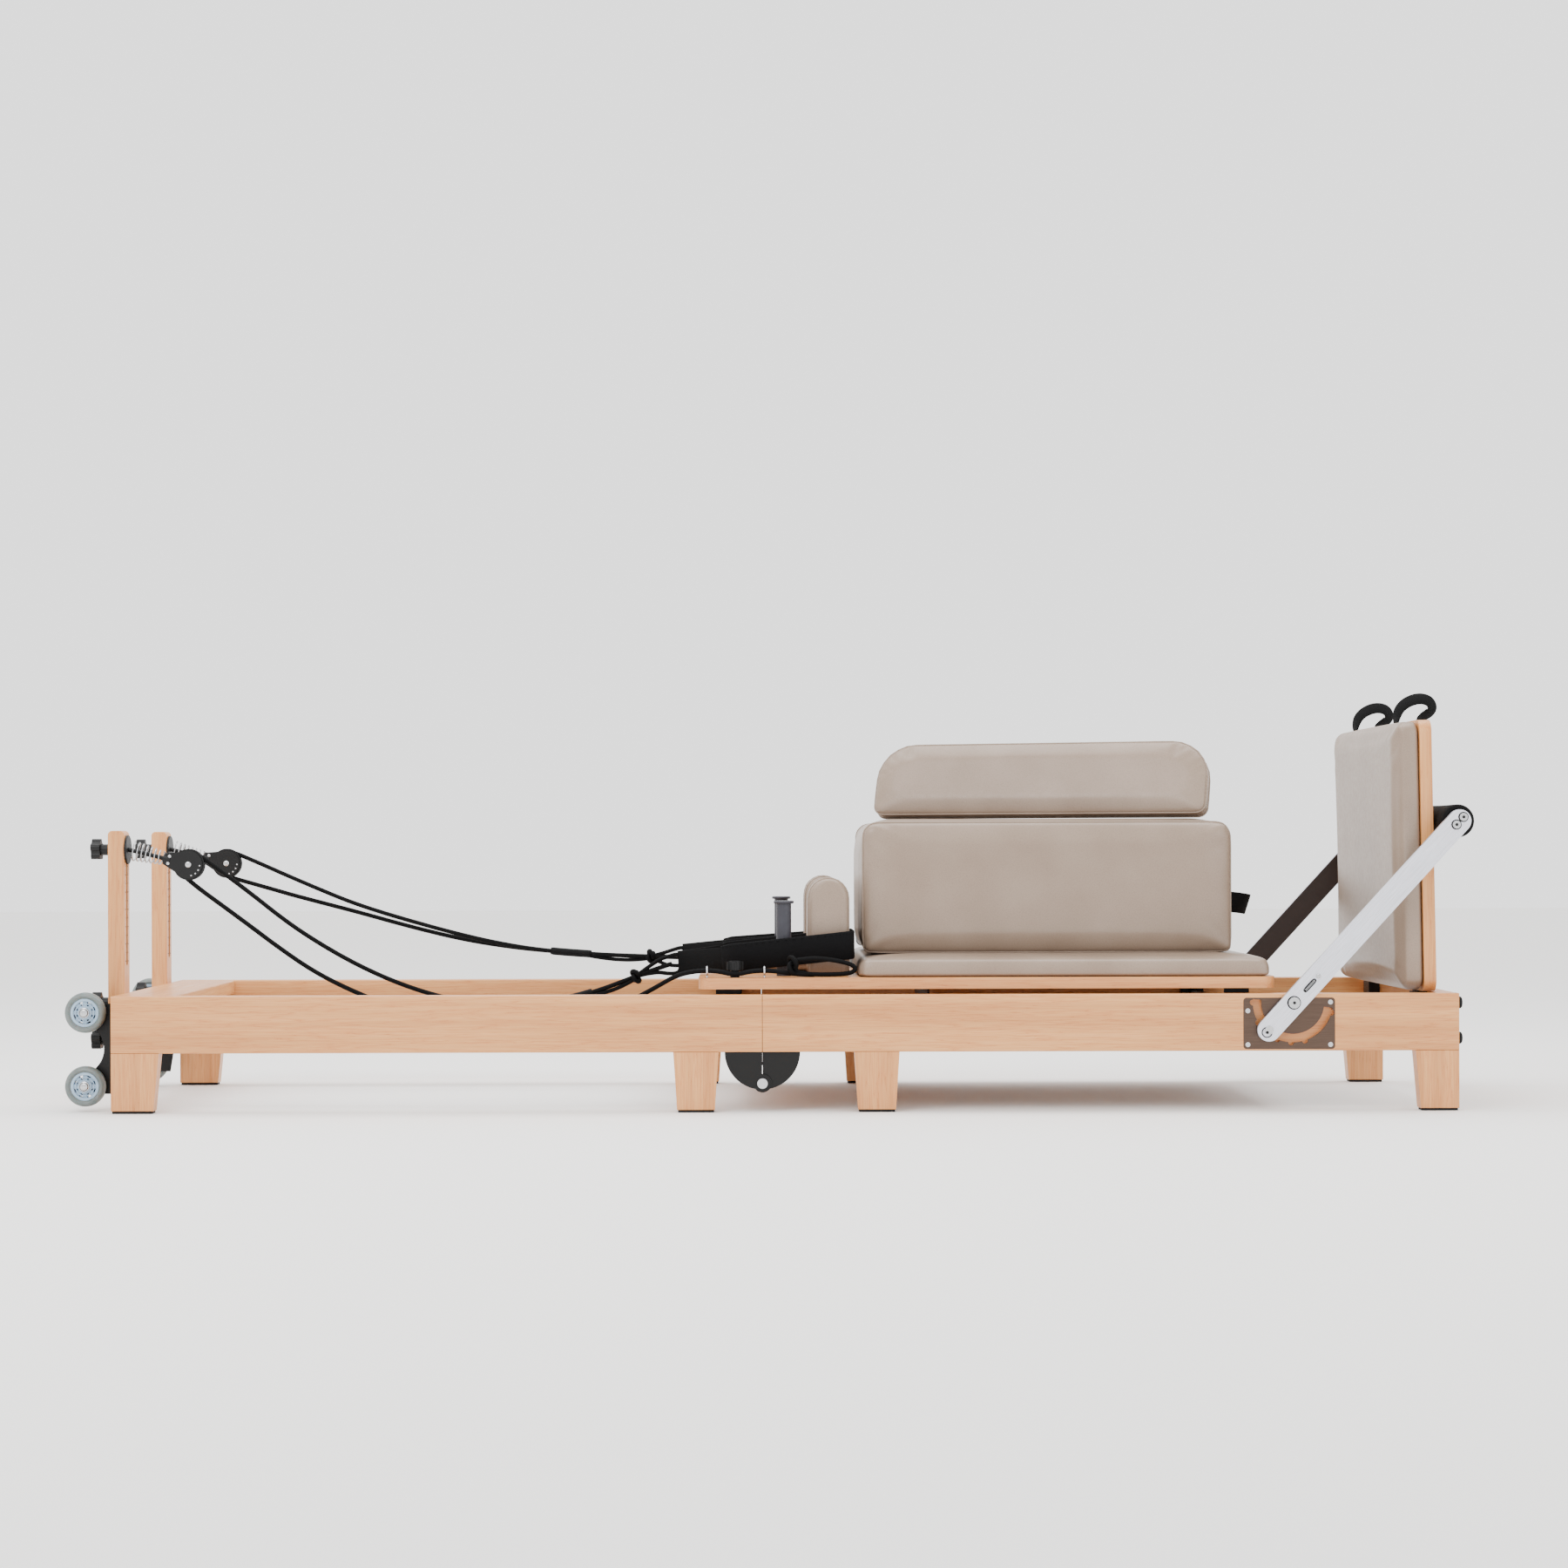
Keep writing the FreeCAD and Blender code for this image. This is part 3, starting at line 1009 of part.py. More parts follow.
def footbar_bolts():
    """Two button-head bolts into the cross tube's end plug, and the lock pin."""
    outer = -ARM_INNER_Y - ARM_THICK
    pieces = []
    for spot in arm_bolt_spots():
        shank = across(ARM_BOLT_SHANK, spot.x, outer, -ARM_INNER_Y, spot.z)
        head = across(ARM_BOLT_RADIUS, spot.x, outer - ARM_BOLT_HEAD, outer, spot.z)
        pieces.append(shank.fuse(head).removeSplitter())
    pin_tip = -HALF_WIDTH + GEAR_POCKET_DEPTH - LOCK_PIN_END_GAP
    pin = across(LOCK_PIN_RADIUS, LOCK_PIN_CENTRE.x, outer, pin_tip, LOCK_PIN_CENTRE.z)
    head = across(LOCK_PIN_HEAD_RADIUS, LOCK_PIN_CENTRE.x, outer - ARM_BOLT_HEAD, outer, LOCK_PIN_CENTRE.z)
    pieces.append(pin.fuse(head).removeSplitter())
    return pieces


def footbar_pivot():
    """The pivot bolt, with the spacer that keeps the arm off the rail and the nut inside."""
    outer = -ARM_INNER_Y - ARM_THICK
    play = PIVOT_PLAY
    shank = across(BOLT_RADIUS, PIVOT_X, outer - play, -INNER_HALF + play, PIVOT_Z)
    head = across(PIVOT_HEAD_RADIUS, PIVOT_X, outer - play - PIVOT_HEAD, outer - play, PIVOT_Z)
    spacer = across(PIVOT_SPACER_RADIUS, PIVOT_X, -ARM_INNER_Y + play, -HALF_WIDTH - play, PIVOT_Z)
    inner_nut = across(BOLT_HEAD_RADIUS, PIVOT_X, -INNER_HALF + play, -INNER_HALF + play + PIVOT_NUT, PIVOT_Z)
    return shank.fuse(head).fuse(spacer).fuse(inner_nut).removeSplitter()


def footbar():
    both_sides("footbar_arms", footbar_arm)
    tube = across(GRIP_TUBE_RADIUS, GRIP_CENTRE.x, -ARM_INNER_Y, ARM_INNER_Y, GRIP_CENTRE.z)
    keep("footbar_tube", tube)
    foam_end = ARM_INNER_Y - GRIP_CLEARANCE
    foam = across(GRIP_RADIUS, GRIP_CENTRE.x, -foam_end, foam_end, GRIP_CENTRE.z)
    foam = foam.makeFillet(GRIP_ROUND, [e for e in foam.Edges if isinstance(e.Curve, Part.Circle)])
    keep("footbar_grip", foam.cut(tube))
    both_sides("footbar_bolts", footbar_bolts)
    both_sides("footbar_pivots", footbar_pivot)


# ---- jumpboard ----

def leaned(shape):
    """The piece leaned towards the head end about the panel's lower foot edge."""
    shape.rotate(V(JUMP_BACK_X, 0, JUMP_FLOOR), Y, -JUMP_LEAN)
    return shape


def jump_posts():
    """Flat posts out of the panel's lower edge."""
    x1 = FOOT_LENGTH - BOARD_THICK - SOCKET_WALL - SOCKET_CLEARANCE
    half = POST_WIDTH / 2
    low = RAIL_TOP - SOCKET_DEPTH
    y0, y1 = -POST_OFFSET - half, -POST_OFFSET + half
    return block(x1 - POST_THICK, x1, y0, y1, low, JUMP_FLOOR + POST_IN_PANEL)


def jump_socket():
    """An open-topped steel socket on the inside of the foot end board."""
    x1 = FOOT_LENGTH - BOARD_THICK
    depth = POST_THICK + 2 * SOCKET_CLEARANCE
    x0 = x1 - 2 * SOCKET_WALL - depth
    half = POST_WIDTH / 2 + SOCKET_CLEARANCE
    low = RAIL_TOP - SOCKET_DEPTH
    shell = block(x0, x1, -POST_OFFSET - half - SOCKET_WALL, -POST_OFFSET + half + SOCKET_WALL,
                  low - SOCKET_FLOOR_GAP - SOCKET_WALL, RAIL_TOP - SOCKET_TOP_GAP)
    well = block(x0 + SOCKET_WALL, x1 - SOCKET_WALL, -POST_OFFSET - half, -POST_OFFSET + half,
                 low - SOCKET_FLOOR_GAP, RAIL_TOP)
    return shell.cut(well)


def webbing_loop(y):
    """A strip of webbing that arches over the panel's upper edge, from the pad to the foot face."""
    top = JUMP_FLOOR + JUMP_HEIGHT
    x0, x1 = JUMP_BACK_X - LOOP_LENGTH, JUMP_BACK_X
    y0, y1 = y - LOOP_HALF_WIDTH, y + LOOP_HALF_WIDTH
    outer = block(x0, x1, y0, y1, top - JUMP_PAD_INSET, top + LOOP_RISE)
    outer = eased(outer, Y, LOOP_ROUND, test=lambda p: p.z > top + 1)
    inner = block(x0 + LOOP_THICK, x1 - LOOP_THICK, y0 - 1, y1 + 1, top - JUMP_PAD_INSET - 1,
                  top + LOOP_RISE - LOOP_THICK)
    inner = eased(inner, Y, LOOP_ROUND - LOOP_THICK, test=lambda p: p.z > top + 1)
    panel = block(JUMP_BACK_X - JUMP_THICK, x1 + 1, y0 - 1, y1 + 1, top - JUMP_PAD_INSET - 1, top)
    return leaned(outer.cut(inner).cut(panel))


def jumpboard():
    half = HALF_WIDTH - JUMP_SIDE_INSET
    x1 = JUMP_BACK_X
    x0 = x1 - JUMP_THICK
    panel = block(x0, x1, -half, half, JUMP_FLOOR, JUMP_FLOOR + JUMP_HEIGHT)
    panel = leaned(eased(panel, X, JUMP_CORNER))
    post = jump_posts()
    panel = panel.cut(post).cut(mirrored(post))
    keep("jumpboard_panel", panel)
    inset = JUMP_PAD_INSET
    pad = block(x0 - JUMP_PAD_THICK, x0, -half + inset, half - inset, JUMP_FLOOR + inset,
                JUMP_FLOOR + JUMP_HEIGHT - inset)
    pad = eased(pad, X, JUMP_CORNER - inset)
    face = [e for e in pad.Edges if e.CenterOfMass.x < x0 - JUMP_PAD_THICK + 0.5]
    keep("jumpboard_pad", leaned(pad.makeFillet(JUMP_PAD_ROUND, face)))
    both_sides("jumpboard_posts", jump_posts)
    both_sides("jumpboard_sockets", jump_socket)
    keep("jumpboard_loops", webbing_loop(-LOOP_OFFSET), webbing_loop(LOOP_OFFSET))


# ---- long box and lumbar cushion ----

def long_box():
    """The padded box, hollow and open underneath."""
    half = BOX_WIDTH / 2
    box = block(BOX_START, BOX_START + BOX_LENGTH, -half, half, PAD_TOP, BOX_TOP)
    box = eased(box, Z, BOX_ROUND)
    box = box.makeFillet(BOX_TOP_ROUND, [e for e in box.Edges if e.CenterOfMass.z > BOX_TOP - 0.5])
    wall = BOX_BOARD
    hollow = block(BOX_START + wall, BOX_START + BOX_LENGTH - wall, -half + wall, half - wall,
                   PAD_TOP - 1, BOX_TOP - wall)
    return box.cut(hollow)


def box_handle():
    """The webbing loop on the box's foot end, bowed out between its two sewn ends."""
    x, z = BOX_START + BOX_LENGTH, BOX_TOP - HANDLE_DROP
    low, high = z - HANDLE_WIDTH / 2, z + HANDLE_WIDTH / 2
    outer = rod(HANDLE_RADIUS, V(x, 0, low), V(x, 0, high))
    outer = outer.common(block(x, x + HANDLE_RADIUS, -HANDLE_RADIUS, HANDLE_RADIUS, low, high))
    return outer.cut(rod(HANDLE_RADIUS - HANDLE_THICK, V(x, 0, low - 1), V(x, 0, high + 1)))


def lumbar_cushion():
    """A cushion with two large top corners, turned and leaned back on its far lower edge."""
    half = CUSHION_LENGTH / 2
    shape = block(-half, half, -CUSHION_THICK, 0, 0, CUSHION_HEIGHT)
    shape = eased(shape, Y, CUSHION_TOP_CORNER, test=lambda p: p.z > CUSHION_HEIGHT / 2)
    shape = eased(shape, Y, CUSHION_LOW_CORNER, test=lambda p: p.z < CUSHION_HEIGHT / 2)
    shape.rotate(V(0, 0, 0), X, -CUSHION_LEAN)
    shape.rotate(V(0, 0, 0), Z, -CUSHION_YAW)
    shape.translate(V(BOX_START + CUSHION_ALONG, 0, BOX_TOP + CUSHION_GAP))
    return shape


def accessories():
    keep("long_box", long_box(), box_handle())
    keep("lumbar_cushion", lumbar_cushion())


# ---- ropes, sleeves and hand straps ----

def corner_arcs(points, radii):
    """Radius at each inner point of a route: 0.45 of the shorter run over the tangent of half the turn."""
    arcs = []
    for index in range(1, len(points) - 1):
        before, after = points[index] - points[index - 1], points[index + 1] - points[index]
        turn = before.getAngle(after)
        radius = 0.45 * min(before.Length, after.Length) / math.tan(turn / 2)
        arcs.append((index, turn, radii.get(index, radius)))
    return arcs


def rope_tube(name, points, radii):
    """A tube along straight runs joined by tangent arcs; its volume is checked against its length."""
    edges, last, tightest = [], points[0], None
    for index, turn, radius in corner_arcs(points, radii):
        reach = radius * math.tan(turn / 2)
        into = (points[index] - points[index - 1]).normalize()
        out = (points[index + 1] - points[index]).normalize()
        start, end = points[index] - into * reach, points[index] + out * reach
        inward = (out - into).normalize()
        middle = points[index] + inward * (radius / math.cos(turn / 2) - radius)
        if (start - last).Length > 1e-6:
            edges.append(Part.LineSegment(last, start).toShape())
        edges.append(Part.Arc(start, middle, end).toShape())
        last = end
        tightest = radius if tightest is None else min(tightest, radius)
    edges.append(Part.LineSegment(last, points[-1]).toShape())
    path = Part.Wire(edges)
    along = (points[1] - points[0]).normalize()
    section = Part.Wire(Part.makeCircle(ROPE_DIAMETER / 2, points[0], along))
    tube = path.makePipeShell([section], True, False)
    area = math.pi * ROPE_DIAMETER ** 2 / 4
    print(name, "length", round(path.Length, 1), "tightest", round(tightest, 1),
          "volume over section x length", round(tube.Volume / (area * path.Length), 4), tube.isValid())
    print(" radii", [round(r) for i, t, r in corner_arcs(points, radii)])
    return tube


def sheave_wrap(side, angles):
    """The three corners of a rope's turn round its sheave, and the arc that fits the groove."""
    arc = SHEAVE_RADIUS - ROPE_DIAMETER / 2 + ROPE_WRAP_PLAY
    reach = arc / math.cos(math.radians((angles[0] - angles[1]) / 2))
    corners = []
    for angle in angles:
        turn = math.radians(angle)
        out, up = reach * math.cos(turn), reach * math.sin(turn)
        corners.append(V(SHEAVE_X + out, side * RISER_OFFSET, SHEAVE_Z + up))
    return corners, arc


# corners of each rope's wrap, degrees about the axle, from the lower run to the upper one
NEAR_WRAP = (204.0, 144.0, 84.0)
FAR_WRAP = (222.7, 160.2, 97.7)

# each rope starts at its loose tail on the board, passes the cleat and leaves over the board's head edge
TAIL = ((92, 287, 238.6), (60, 295, 239), (22, 300, 246.2), (-16, 300, 246.2), (-48, 300, 238.6),
        (-80, 300, 246.2), (-116, 299.5, 246.2))
NEAR_LOWER = [V(*p) for p in (
    (-152, -292, 238), (-192, -283, 214), (-238, -272, 190), (-290, -260, 170), (-350, -249, 155),
    (-415, -239, 147), (-480, -230, 146), (-545, -221, 152), (-610, -213, 165), (-675, -206, 184),
    (-740, -200, 210), (-805, -196, 243), (-868, -193, 286), (-930, -192, 333))]
NEAR_UPPER = [V(*p) for p in (
    (-972, -192, 424), (-915, -192, 381), (-855, -192, 333), (-795, -193, 293), (-730, -194, 256),
    (-665, -196, 226), (-600, -198, 203), (-535, -199, 187), (-470, -199, 179), (-406, -198, 181),
    (-345, -195, 192), (-290, -190, 208), (-242, -185, 226), (-200, -180, 242), (-162, -176, 254))]
FAR_LOWER = [V(*p) for p in (
    (-152, 297, 247.5), (-196, 290, 249), (-252, 281, 251), (-316, 269, 255), (-380, 256, 260),
    (-446, 242, 266), (-512, 230, 275), (-578, 220, 287), (-644, 211, 303), (-710, 204, 321),
    (-776, 199, 340), (-840, 195, 357), (-900, 193, 373), (-958, 192, 390))]
FAR_UPPER = [V(*p) for p in (
    (-968, 192, 436), (-912, 192, 411), (-854, 192, 386), (-794, 193, 361), (-732, 194, 340),
    (-668, 195, 321), (-604, 196, 303), (-540, 197, 287), (-476, 197, 274), (-412, 196, 265),
    (-350, 193, 260), (-294, 188, 257), (-242, 183, 255), (-200, 179, 254), (-162, 176, 253))]


# near strap's outline seen from above, from its tip round: along the carriage board and across it
STRAP_OUTLINE = ((-38.0, -176.0), (52.0, -258.0), (272.0, -258.0), (276.5, -250.0), (276.5, -98.0),
                 (270.0, -93.0), (52.0, -93.0))


def rope_route(side, wrap, lower, upper):
    corners, arc = sheave_wrap(side, wrap)
    points = [V(x, side * y, z) for x, y, z in TAIL] + lower + corners + upper
    first = len(TAIL) + len(lower)
    return points, {first: arc, first + 1: arc, first + 2: arc}


def hand_strap(side):
    """A padded webbing loop that stands on its edge round the rope peg and the shoulder rest."""
    low = CARRIAGE_TOP + STRAP_LIFT
    slope = math.tan(math.radians(STRAP_TILTS[side > 0]))
    corners = [V(CARRIAGE_START + along, y, low + along * slope) for along, y in STRAP_OUTLINE]
    wire = Part.makePolygon(corners + corners[:1])
    face = Part.Face(wire)
    inner = Part.Face(wire.makeOffset2D(-STRAP_THICK, 2))
    band = face.extrude(V(0, 0, STRAP_HEIGHT)).cut(inner.extrude(V(0, 0, STRAP_HEIGHT)))
    return band if side < 0 else mirrored(band)


def ropes_and_straps():
    near, near_arcs = rope_route(-1, NEAR_WRAP, NEAR_LOWER, NEAR_UPPER)
    far, far_arcs = rope_route(1, FAR_WRAP, FAR_LOWER, FAR_UPPER)
    keep("rope_near", rope_tube("rope_near", near, near_arcs))
    keep("rope_far", rope_tube("rope_far", far, far_arcs))
    keep("hand_straps", hand_strap(-1), hand_strap(1))


def write_all():
    """One STEP file for each node."""
    os.makedirs("parts", exist_ok=True)
    for name, solids in NODES.items():
        shape = solids[0] if len(solids) == 1 else Part.makeCompound(solids)
        moved = shape.copy()
        moved.translate(V(ORIGIN_SHIFT, 0, 0))
        moved.exportStep("parts/" + name + ".step")
    print("origin shift", round(ORIGIN_SHIFT, 3), "nodes", len(NODES))


frame_boards()
legs()
fold_hinges()
skate_wheels()
head_end_fittings()
tracks_and_bumpers()
carriage()
footbar()
jumpboard()
accessories()
ropes_and_straps()
write_all()
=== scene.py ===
"""Looks for a folding wooden pilates reformer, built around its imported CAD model."""

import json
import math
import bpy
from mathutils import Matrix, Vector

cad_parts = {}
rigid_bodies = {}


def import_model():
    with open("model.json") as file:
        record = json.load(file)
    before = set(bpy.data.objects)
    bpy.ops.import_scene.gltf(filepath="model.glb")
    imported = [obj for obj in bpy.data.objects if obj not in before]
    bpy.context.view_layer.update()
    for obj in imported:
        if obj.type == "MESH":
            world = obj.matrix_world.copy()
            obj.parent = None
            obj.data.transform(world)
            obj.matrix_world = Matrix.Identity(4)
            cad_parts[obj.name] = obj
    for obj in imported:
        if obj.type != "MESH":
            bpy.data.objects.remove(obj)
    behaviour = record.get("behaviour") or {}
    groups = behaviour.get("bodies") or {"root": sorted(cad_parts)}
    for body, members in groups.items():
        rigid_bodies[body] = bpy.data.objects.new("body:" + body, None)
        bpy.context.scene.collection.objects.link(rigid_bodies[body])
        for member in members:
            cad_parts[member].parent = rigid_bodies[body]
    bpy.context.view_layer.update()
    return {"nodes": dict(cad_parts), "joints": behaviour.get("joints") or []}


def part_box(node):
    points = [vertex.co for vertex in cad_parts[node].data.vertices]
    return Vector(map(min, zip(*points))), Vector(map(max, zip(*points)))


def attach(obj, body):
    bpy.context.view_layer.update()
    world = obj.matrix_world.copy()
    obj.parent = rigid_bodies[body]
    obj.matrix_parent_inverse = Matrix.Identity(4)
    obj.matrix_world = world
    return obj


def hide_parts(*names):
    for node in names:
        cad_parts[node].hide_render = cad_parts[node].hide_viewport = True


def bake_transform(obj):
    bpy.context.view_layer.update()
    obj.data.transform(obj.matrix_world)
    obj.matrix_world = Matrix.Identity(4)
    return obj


bl_info = {
    "name": "Folding Reformer Looks",
    "version": (1, 0, 0),
    "blender": (4, 5, 0),
    "location": "View3D > Sidebar > Reformer",
    "description": "Upholstery, ropes, straps and finishes for a folding pilates reformer",
    "category": "Object",
}

import bmesh
import bpy
from mathutils import Matrix, Vector
from mathutils.bvhtree import BVHTree

for leftover in list(bpy.data.objects):
    bpy.data.objects.remove(leftover)
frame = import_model()

# ---------------------------------------------------------------- places taken from the frame

JOINTS = {joint["name"]: joint for joint in frame["joints"]}
MM = 0.001
FOLD_X = JOINTS["frame_fold"]["pos_m"][0]
SIDES = {"near": -1, "far": 1}
# in millimetres: the carriage board's top face, the pulleys' distance from the middle, and the eye behind each one
BOARD_TOP = 237
PULLEY_Y = 192
PULLEY_EYE_X, PULLEY_EYE_Z = -1136, 462


def at(x, y, z):
    """A point given in millimetres, with x measured from the fold line."""
    return Vector((FOLD_X + x * MM, y * MM, z * MM))


# ---------------------------------------------------------------- sizes and colours to change

class ReformerSizes(bpy.types.PropertyGroup):
    """Sizes of the soft parts and fittings."""
    rope_diameter: bpy.props.FloatProperty(
        name="Rope Diameter", description="Thickness of the braided pulling ropes", default=0.009, unit="LENGTH")
    piping_diameter: bpy.props.FloatProperty(
        name="Piping Diameter", description="Thickness of the piping sewn along the vinyl's seams",
        default=0.0034, unit="LENGTH")
    webbing_height: bpy.props.FloatProperty(
        name="Webbing Height", description="Width of the hand straps' plain webbing", default=0.040, unit="LENGTH")
    strap_pad_height: bpy.props.FloatProperty(
        name="Strap Pad Height", description="Width of the hand straps' padded part", default=0.050, unit="LENGTH")
    pad_crown: bpy.props.FloatProperty(
        name="Pad Crown", description="Most that the upholstery's middle stands above its seams",
        default=0.006, unit="LENGTH")
    voxel: bpy.props.FloatProperty(
        name="Cloth Mesh", description="Spacing of the mesh that the cloth is simulated on",
        default=0.006, unit="LENGTH")
    spring_wire: bpy.props.FloatProperty(
        name="Spring Wire", description="Thickness of the carriage springs' wire", default=0.0032, unit="LENGTH")
    spring_pitch: bpy.props.FloatProperty(
        name="Spring Pitch", description="Distance between turns of the carriage springs",
        default=0.0058, unit="LENGTH")


class ReformerColours(bpy.types.PropertyGroup):
    """sRGB hex colours of the main finishes."""
    maple: bpy.props.StringProperty(name="Maple", description="Main colour of the wood", default="#D89B5F")
    maple_dark: bpy.props.StringProperty(
        name="Maple Late Wood", description="Darker lines of the wood's growth rings", default="#C6894F")
    vinyl: bpy.props.StringProperty(name="Vinyl", description="Colour of the upholstery", default="#928071")
    tyre: bpy.props.StringProperty(name="Tyre", description="Colour of the skate wheels' tyres", default="#6E7675")
    hub: bpy.props.StringProperty(name="Hub", description="Colour of the skate wheels' hubs", default="#9DB6CB")


# ---------------------------------------------------------------- materials

def colour(code):
    """Linear RGBA of an sRGB hex value."""
    channels = [int(code[i:i + 2], 16) / 255 for i in (1, 3, 5)]
    return tuple(c / 12.92 if c <= 0.04045 else ((c + 0.055) / 1.055) ** 2.4 for c in channels) + (1.0,)


def add(tree, kind, inputs=None, stops=None, **settings):
    """A node with its settings. Inputs are values, or other nodes' outputs to join; stops fill a colour ramp."""
    node = tree.nodes.new(kind)
    for key, value in settings.items():
        setattr(node, key, value)
    for key, value in (inputs or {}).items():
        if isinstance(value, bpy.types.NodeSocket):
            tree.links.new(value, node.inputs[key])
        else:
            node.inputs[key].default_value = value
    for index, (place, code) in enumerate(stops or ()):
        ramp = node.color_ramp.elements
        stop = ramp[index] if index < 2 else ramp.new(place)
        stop.position = place
        stop.color = colour(code)
    return node


def start_finish(name, code, roughness, metallic=0.0, turn=(0, 0, 0), stretch=(1, 1, 1), source="Object", **sockets):
    """A material, its tree and shader, and the surface point in millimetres, turned and stretched for its pattern."""
    made = bpy.data.materials.get(name)
    if made:
        bpy.data.materials.remove(made)
    made = bpy.data.materials.new(name)
    made.use_nodes = True
    made.diffuse_color = colour(code)
    tree = made.node_tree
    shader = tree.nodes["Principled BSDF"]
    shader.inputs["Base Color"].default_value = colour(code)
    shader.inputs["Roughness"].default_value = roughness
    shader.inputs["Metallic"].default_value = metallic
    for key, value in sockets.items():
        shader.inputs[key.replace("_", " ")].default_value = value
    place = add(tree, "ShaderNodeTexCoord")
    turned = add(tree, "ShaderNodeMapping", {"Vector": place.outputs[source], "Rotation": turn})
    point = add(tree, "ShaderNodeMapping", {
        "Vector": turned.outputs["Vector"], "Scale": tuple(s / MM for s in stretch)})
    return made, tree, shader, point.outputs["Vector"]


def mixed(tree, factor, first, second, blend="MIX"):
    """The colour between two, by a factor. Each is an output or an sRGB hex value."""
    values = [colour(c) if isinstance(c, str) else c for c in (first, second)]
    node = add(tree, "ShaderNodeMix", {0: factor, 6: values[0], 7: values[1]}, data_type="RGBA", blend_type=blend)
    return node.outputs[2]


def emboss(tree, shader, height, depth, strength=1.0):
    """Raises the surface by a pattern, depth in metres."""
    bump = add(tree, "ShaderNodeBump", {"Height": height, "Distance": depth, "Strength": strength})
    tree.links.new(bump.outputs["Normal"], shader.inputs["Normal"])


def rough(tree, shader, factor, low, high):
    """Roughness that varies between two values by a pattern."""
    spread = add(tree, "ShaderNodeMapRange", {0: factor, 1: 0.3, 2: 0.7, 3: low, 4: high})
    tree.links.new(spread.outputs["Result"], shader.inputs["Roughness"])


def lacquered_maple(grain):
    """Planed maple under satin lacquer: long pale figure, fine fibres, darker end grain, a soft sheen."""
    tones = bpy.context.scene.reformer_colours
    axis = "XYZ".index(grain)
    # figure 22 mm wide and thirty times as long; rings 3 mm and fibres 1 mm wide, the finest that show
    figure_stretch = [1 / 22.0] * 3
    figure_stretch[axis] = 1 / 700.0
    made, tree, shader, point = start_finish(
        "lacquered_maple_grain_" + grain, tones.maple, 0.36, stretch=figure_stretch, Coat_Weight=0.15,
        Coat_Roughness=0.2)
    figure = add(tree, "ShaderNodeTexNoise", {"Vector": point, "Scale": 0.8, "Detail": 2.0, "Distortion": 0.4})
    rings = add(tree, "ShaderNodeTexNoise", {"Vector": point, "Scale": 5.5, "Detail": 2.5, "Distortion": 0.6})
    fibre = add(tree, "ShaderNodeTexNoise", {"Vector": point, "Scale": 22.0, "Detail": 4.0, "Roughness": 0.6})
    broad = add(tree, "ShaderNodeValToRGB", {0: figure.outputs["Fac"]},
                stops=[(0.35, tones.maple_dark), (0.65, tones.maple)])
    lines = add(tree, "ShaderNodeValToRGB", {0: rings.outputs["Fac"]},
                stops=[(0.40, "#FFFFFF"), (0.60, "#FFFFFF"), (0.492, "#F2DCC6"), (0.5, "#D3A883"), (0.508, "#F6E6D6")])
    fine = add(tree, "ShaderNodeValToRGB", {0: fibre.outputs["Fac"]},
               stops=[(0.3, "#E2D0BE"), (0.6, "#FFFFFF")])
    tinted = mixed(tree, 0.75, broad.outputs["Color"], lines.outputs["Color"], "MULTIPLY")
    tinted = mixed(tree, 0.35, tinted, fine.outputs["Color"], "MULTIPLY")
    # sawn across the grain, the wood drinks more lacquer and reads darker
    facing = add(tree, "ShaderNodeSeparateXYZ", {0: add(tree, "ShaderNodeNewGeometry").outputs["Normal"]})
    size = add(tree, "ShaderNodeMath", {0: facing.outputs[axis]}, operation="ABSOLUTE")
    sawn = add(tree, "ShaderNodeMapRange", {0: size.outputs[0], 1: 0.85, 2: 0.97, 3: 0.0, 4: 0.55})
    tinted = mixed(tree, sawn.outputs["Result"], tinted, "#B4835A")
    tree.links.new(tinted, shader.inputs["Base Color"])
    rough(tree, shader, rings.outputs["Fac"], 0.36, 0.50)
    emboss(tree, shader, fibre.outputs["Fac"], 0.00012, 0.5)
    return made


def upholstery_vinyl(name, code):
    """Calendered vinyl with an embossed leather grain: small pebbles, faint creases, a satin gloss."""
    made, tree, shader, point = start_finish(name, code, 0.34)
    # pebbles 1.6 mm across, a little coarser than real so that they show
    pebble = add(tree, "ShaderNodeTexVoronoi", {"Vector": point, "Scale": 1 / 1.6}, feature="SMOOTH_F1")
    crease = add(tree, "ShaderNodeTexNoise", {"Vector": point, "Scale": 1 / 9.0, "Detail": 5.0, "Roughness": 0.62})
    cloud = add(tree, "ShaderNodeTexNoise", {"Vector": point, "Scale": 1 / 90.0, "Detail": 2.0})
    shade = add(tree, "ShaderNodeValToRGB", {0: cloud.outputs["Fac"]},
                stops=[(0.3, "#F1EEEB"), (0.7, "#FFFFFF")])
    pits = add(tree, "ShaderNodeValToRGB", {0: pebble.outputs["Distance"]},
               stops=[(0.0, "#FFFFFF"), (0.75, "#DDD6CF")])
    tinted = mixed(tree, 1.0, code, shade.outputs["Color"], "MULTIPLY")
    tinted = mixed(tree, 0.6, tinted, pits.outputs["Color"], "MULTIPLY")
    tree.links.new(tinted, shader.inputs["Base Color"])
    rough(tree, shader, crease.outputs["Fac"], 0.28, 0.40)
    relief = add(tree, "ShaderNodeMath", {0: pebble.outputs["Distance"], 1: -0.6, 2: crease.outputs["Fac"]},
                 operation="MULTIPLY_ADD")
    emboss(tree, shader, relief.outputs[0], 0.00016, 0.4)
    return made


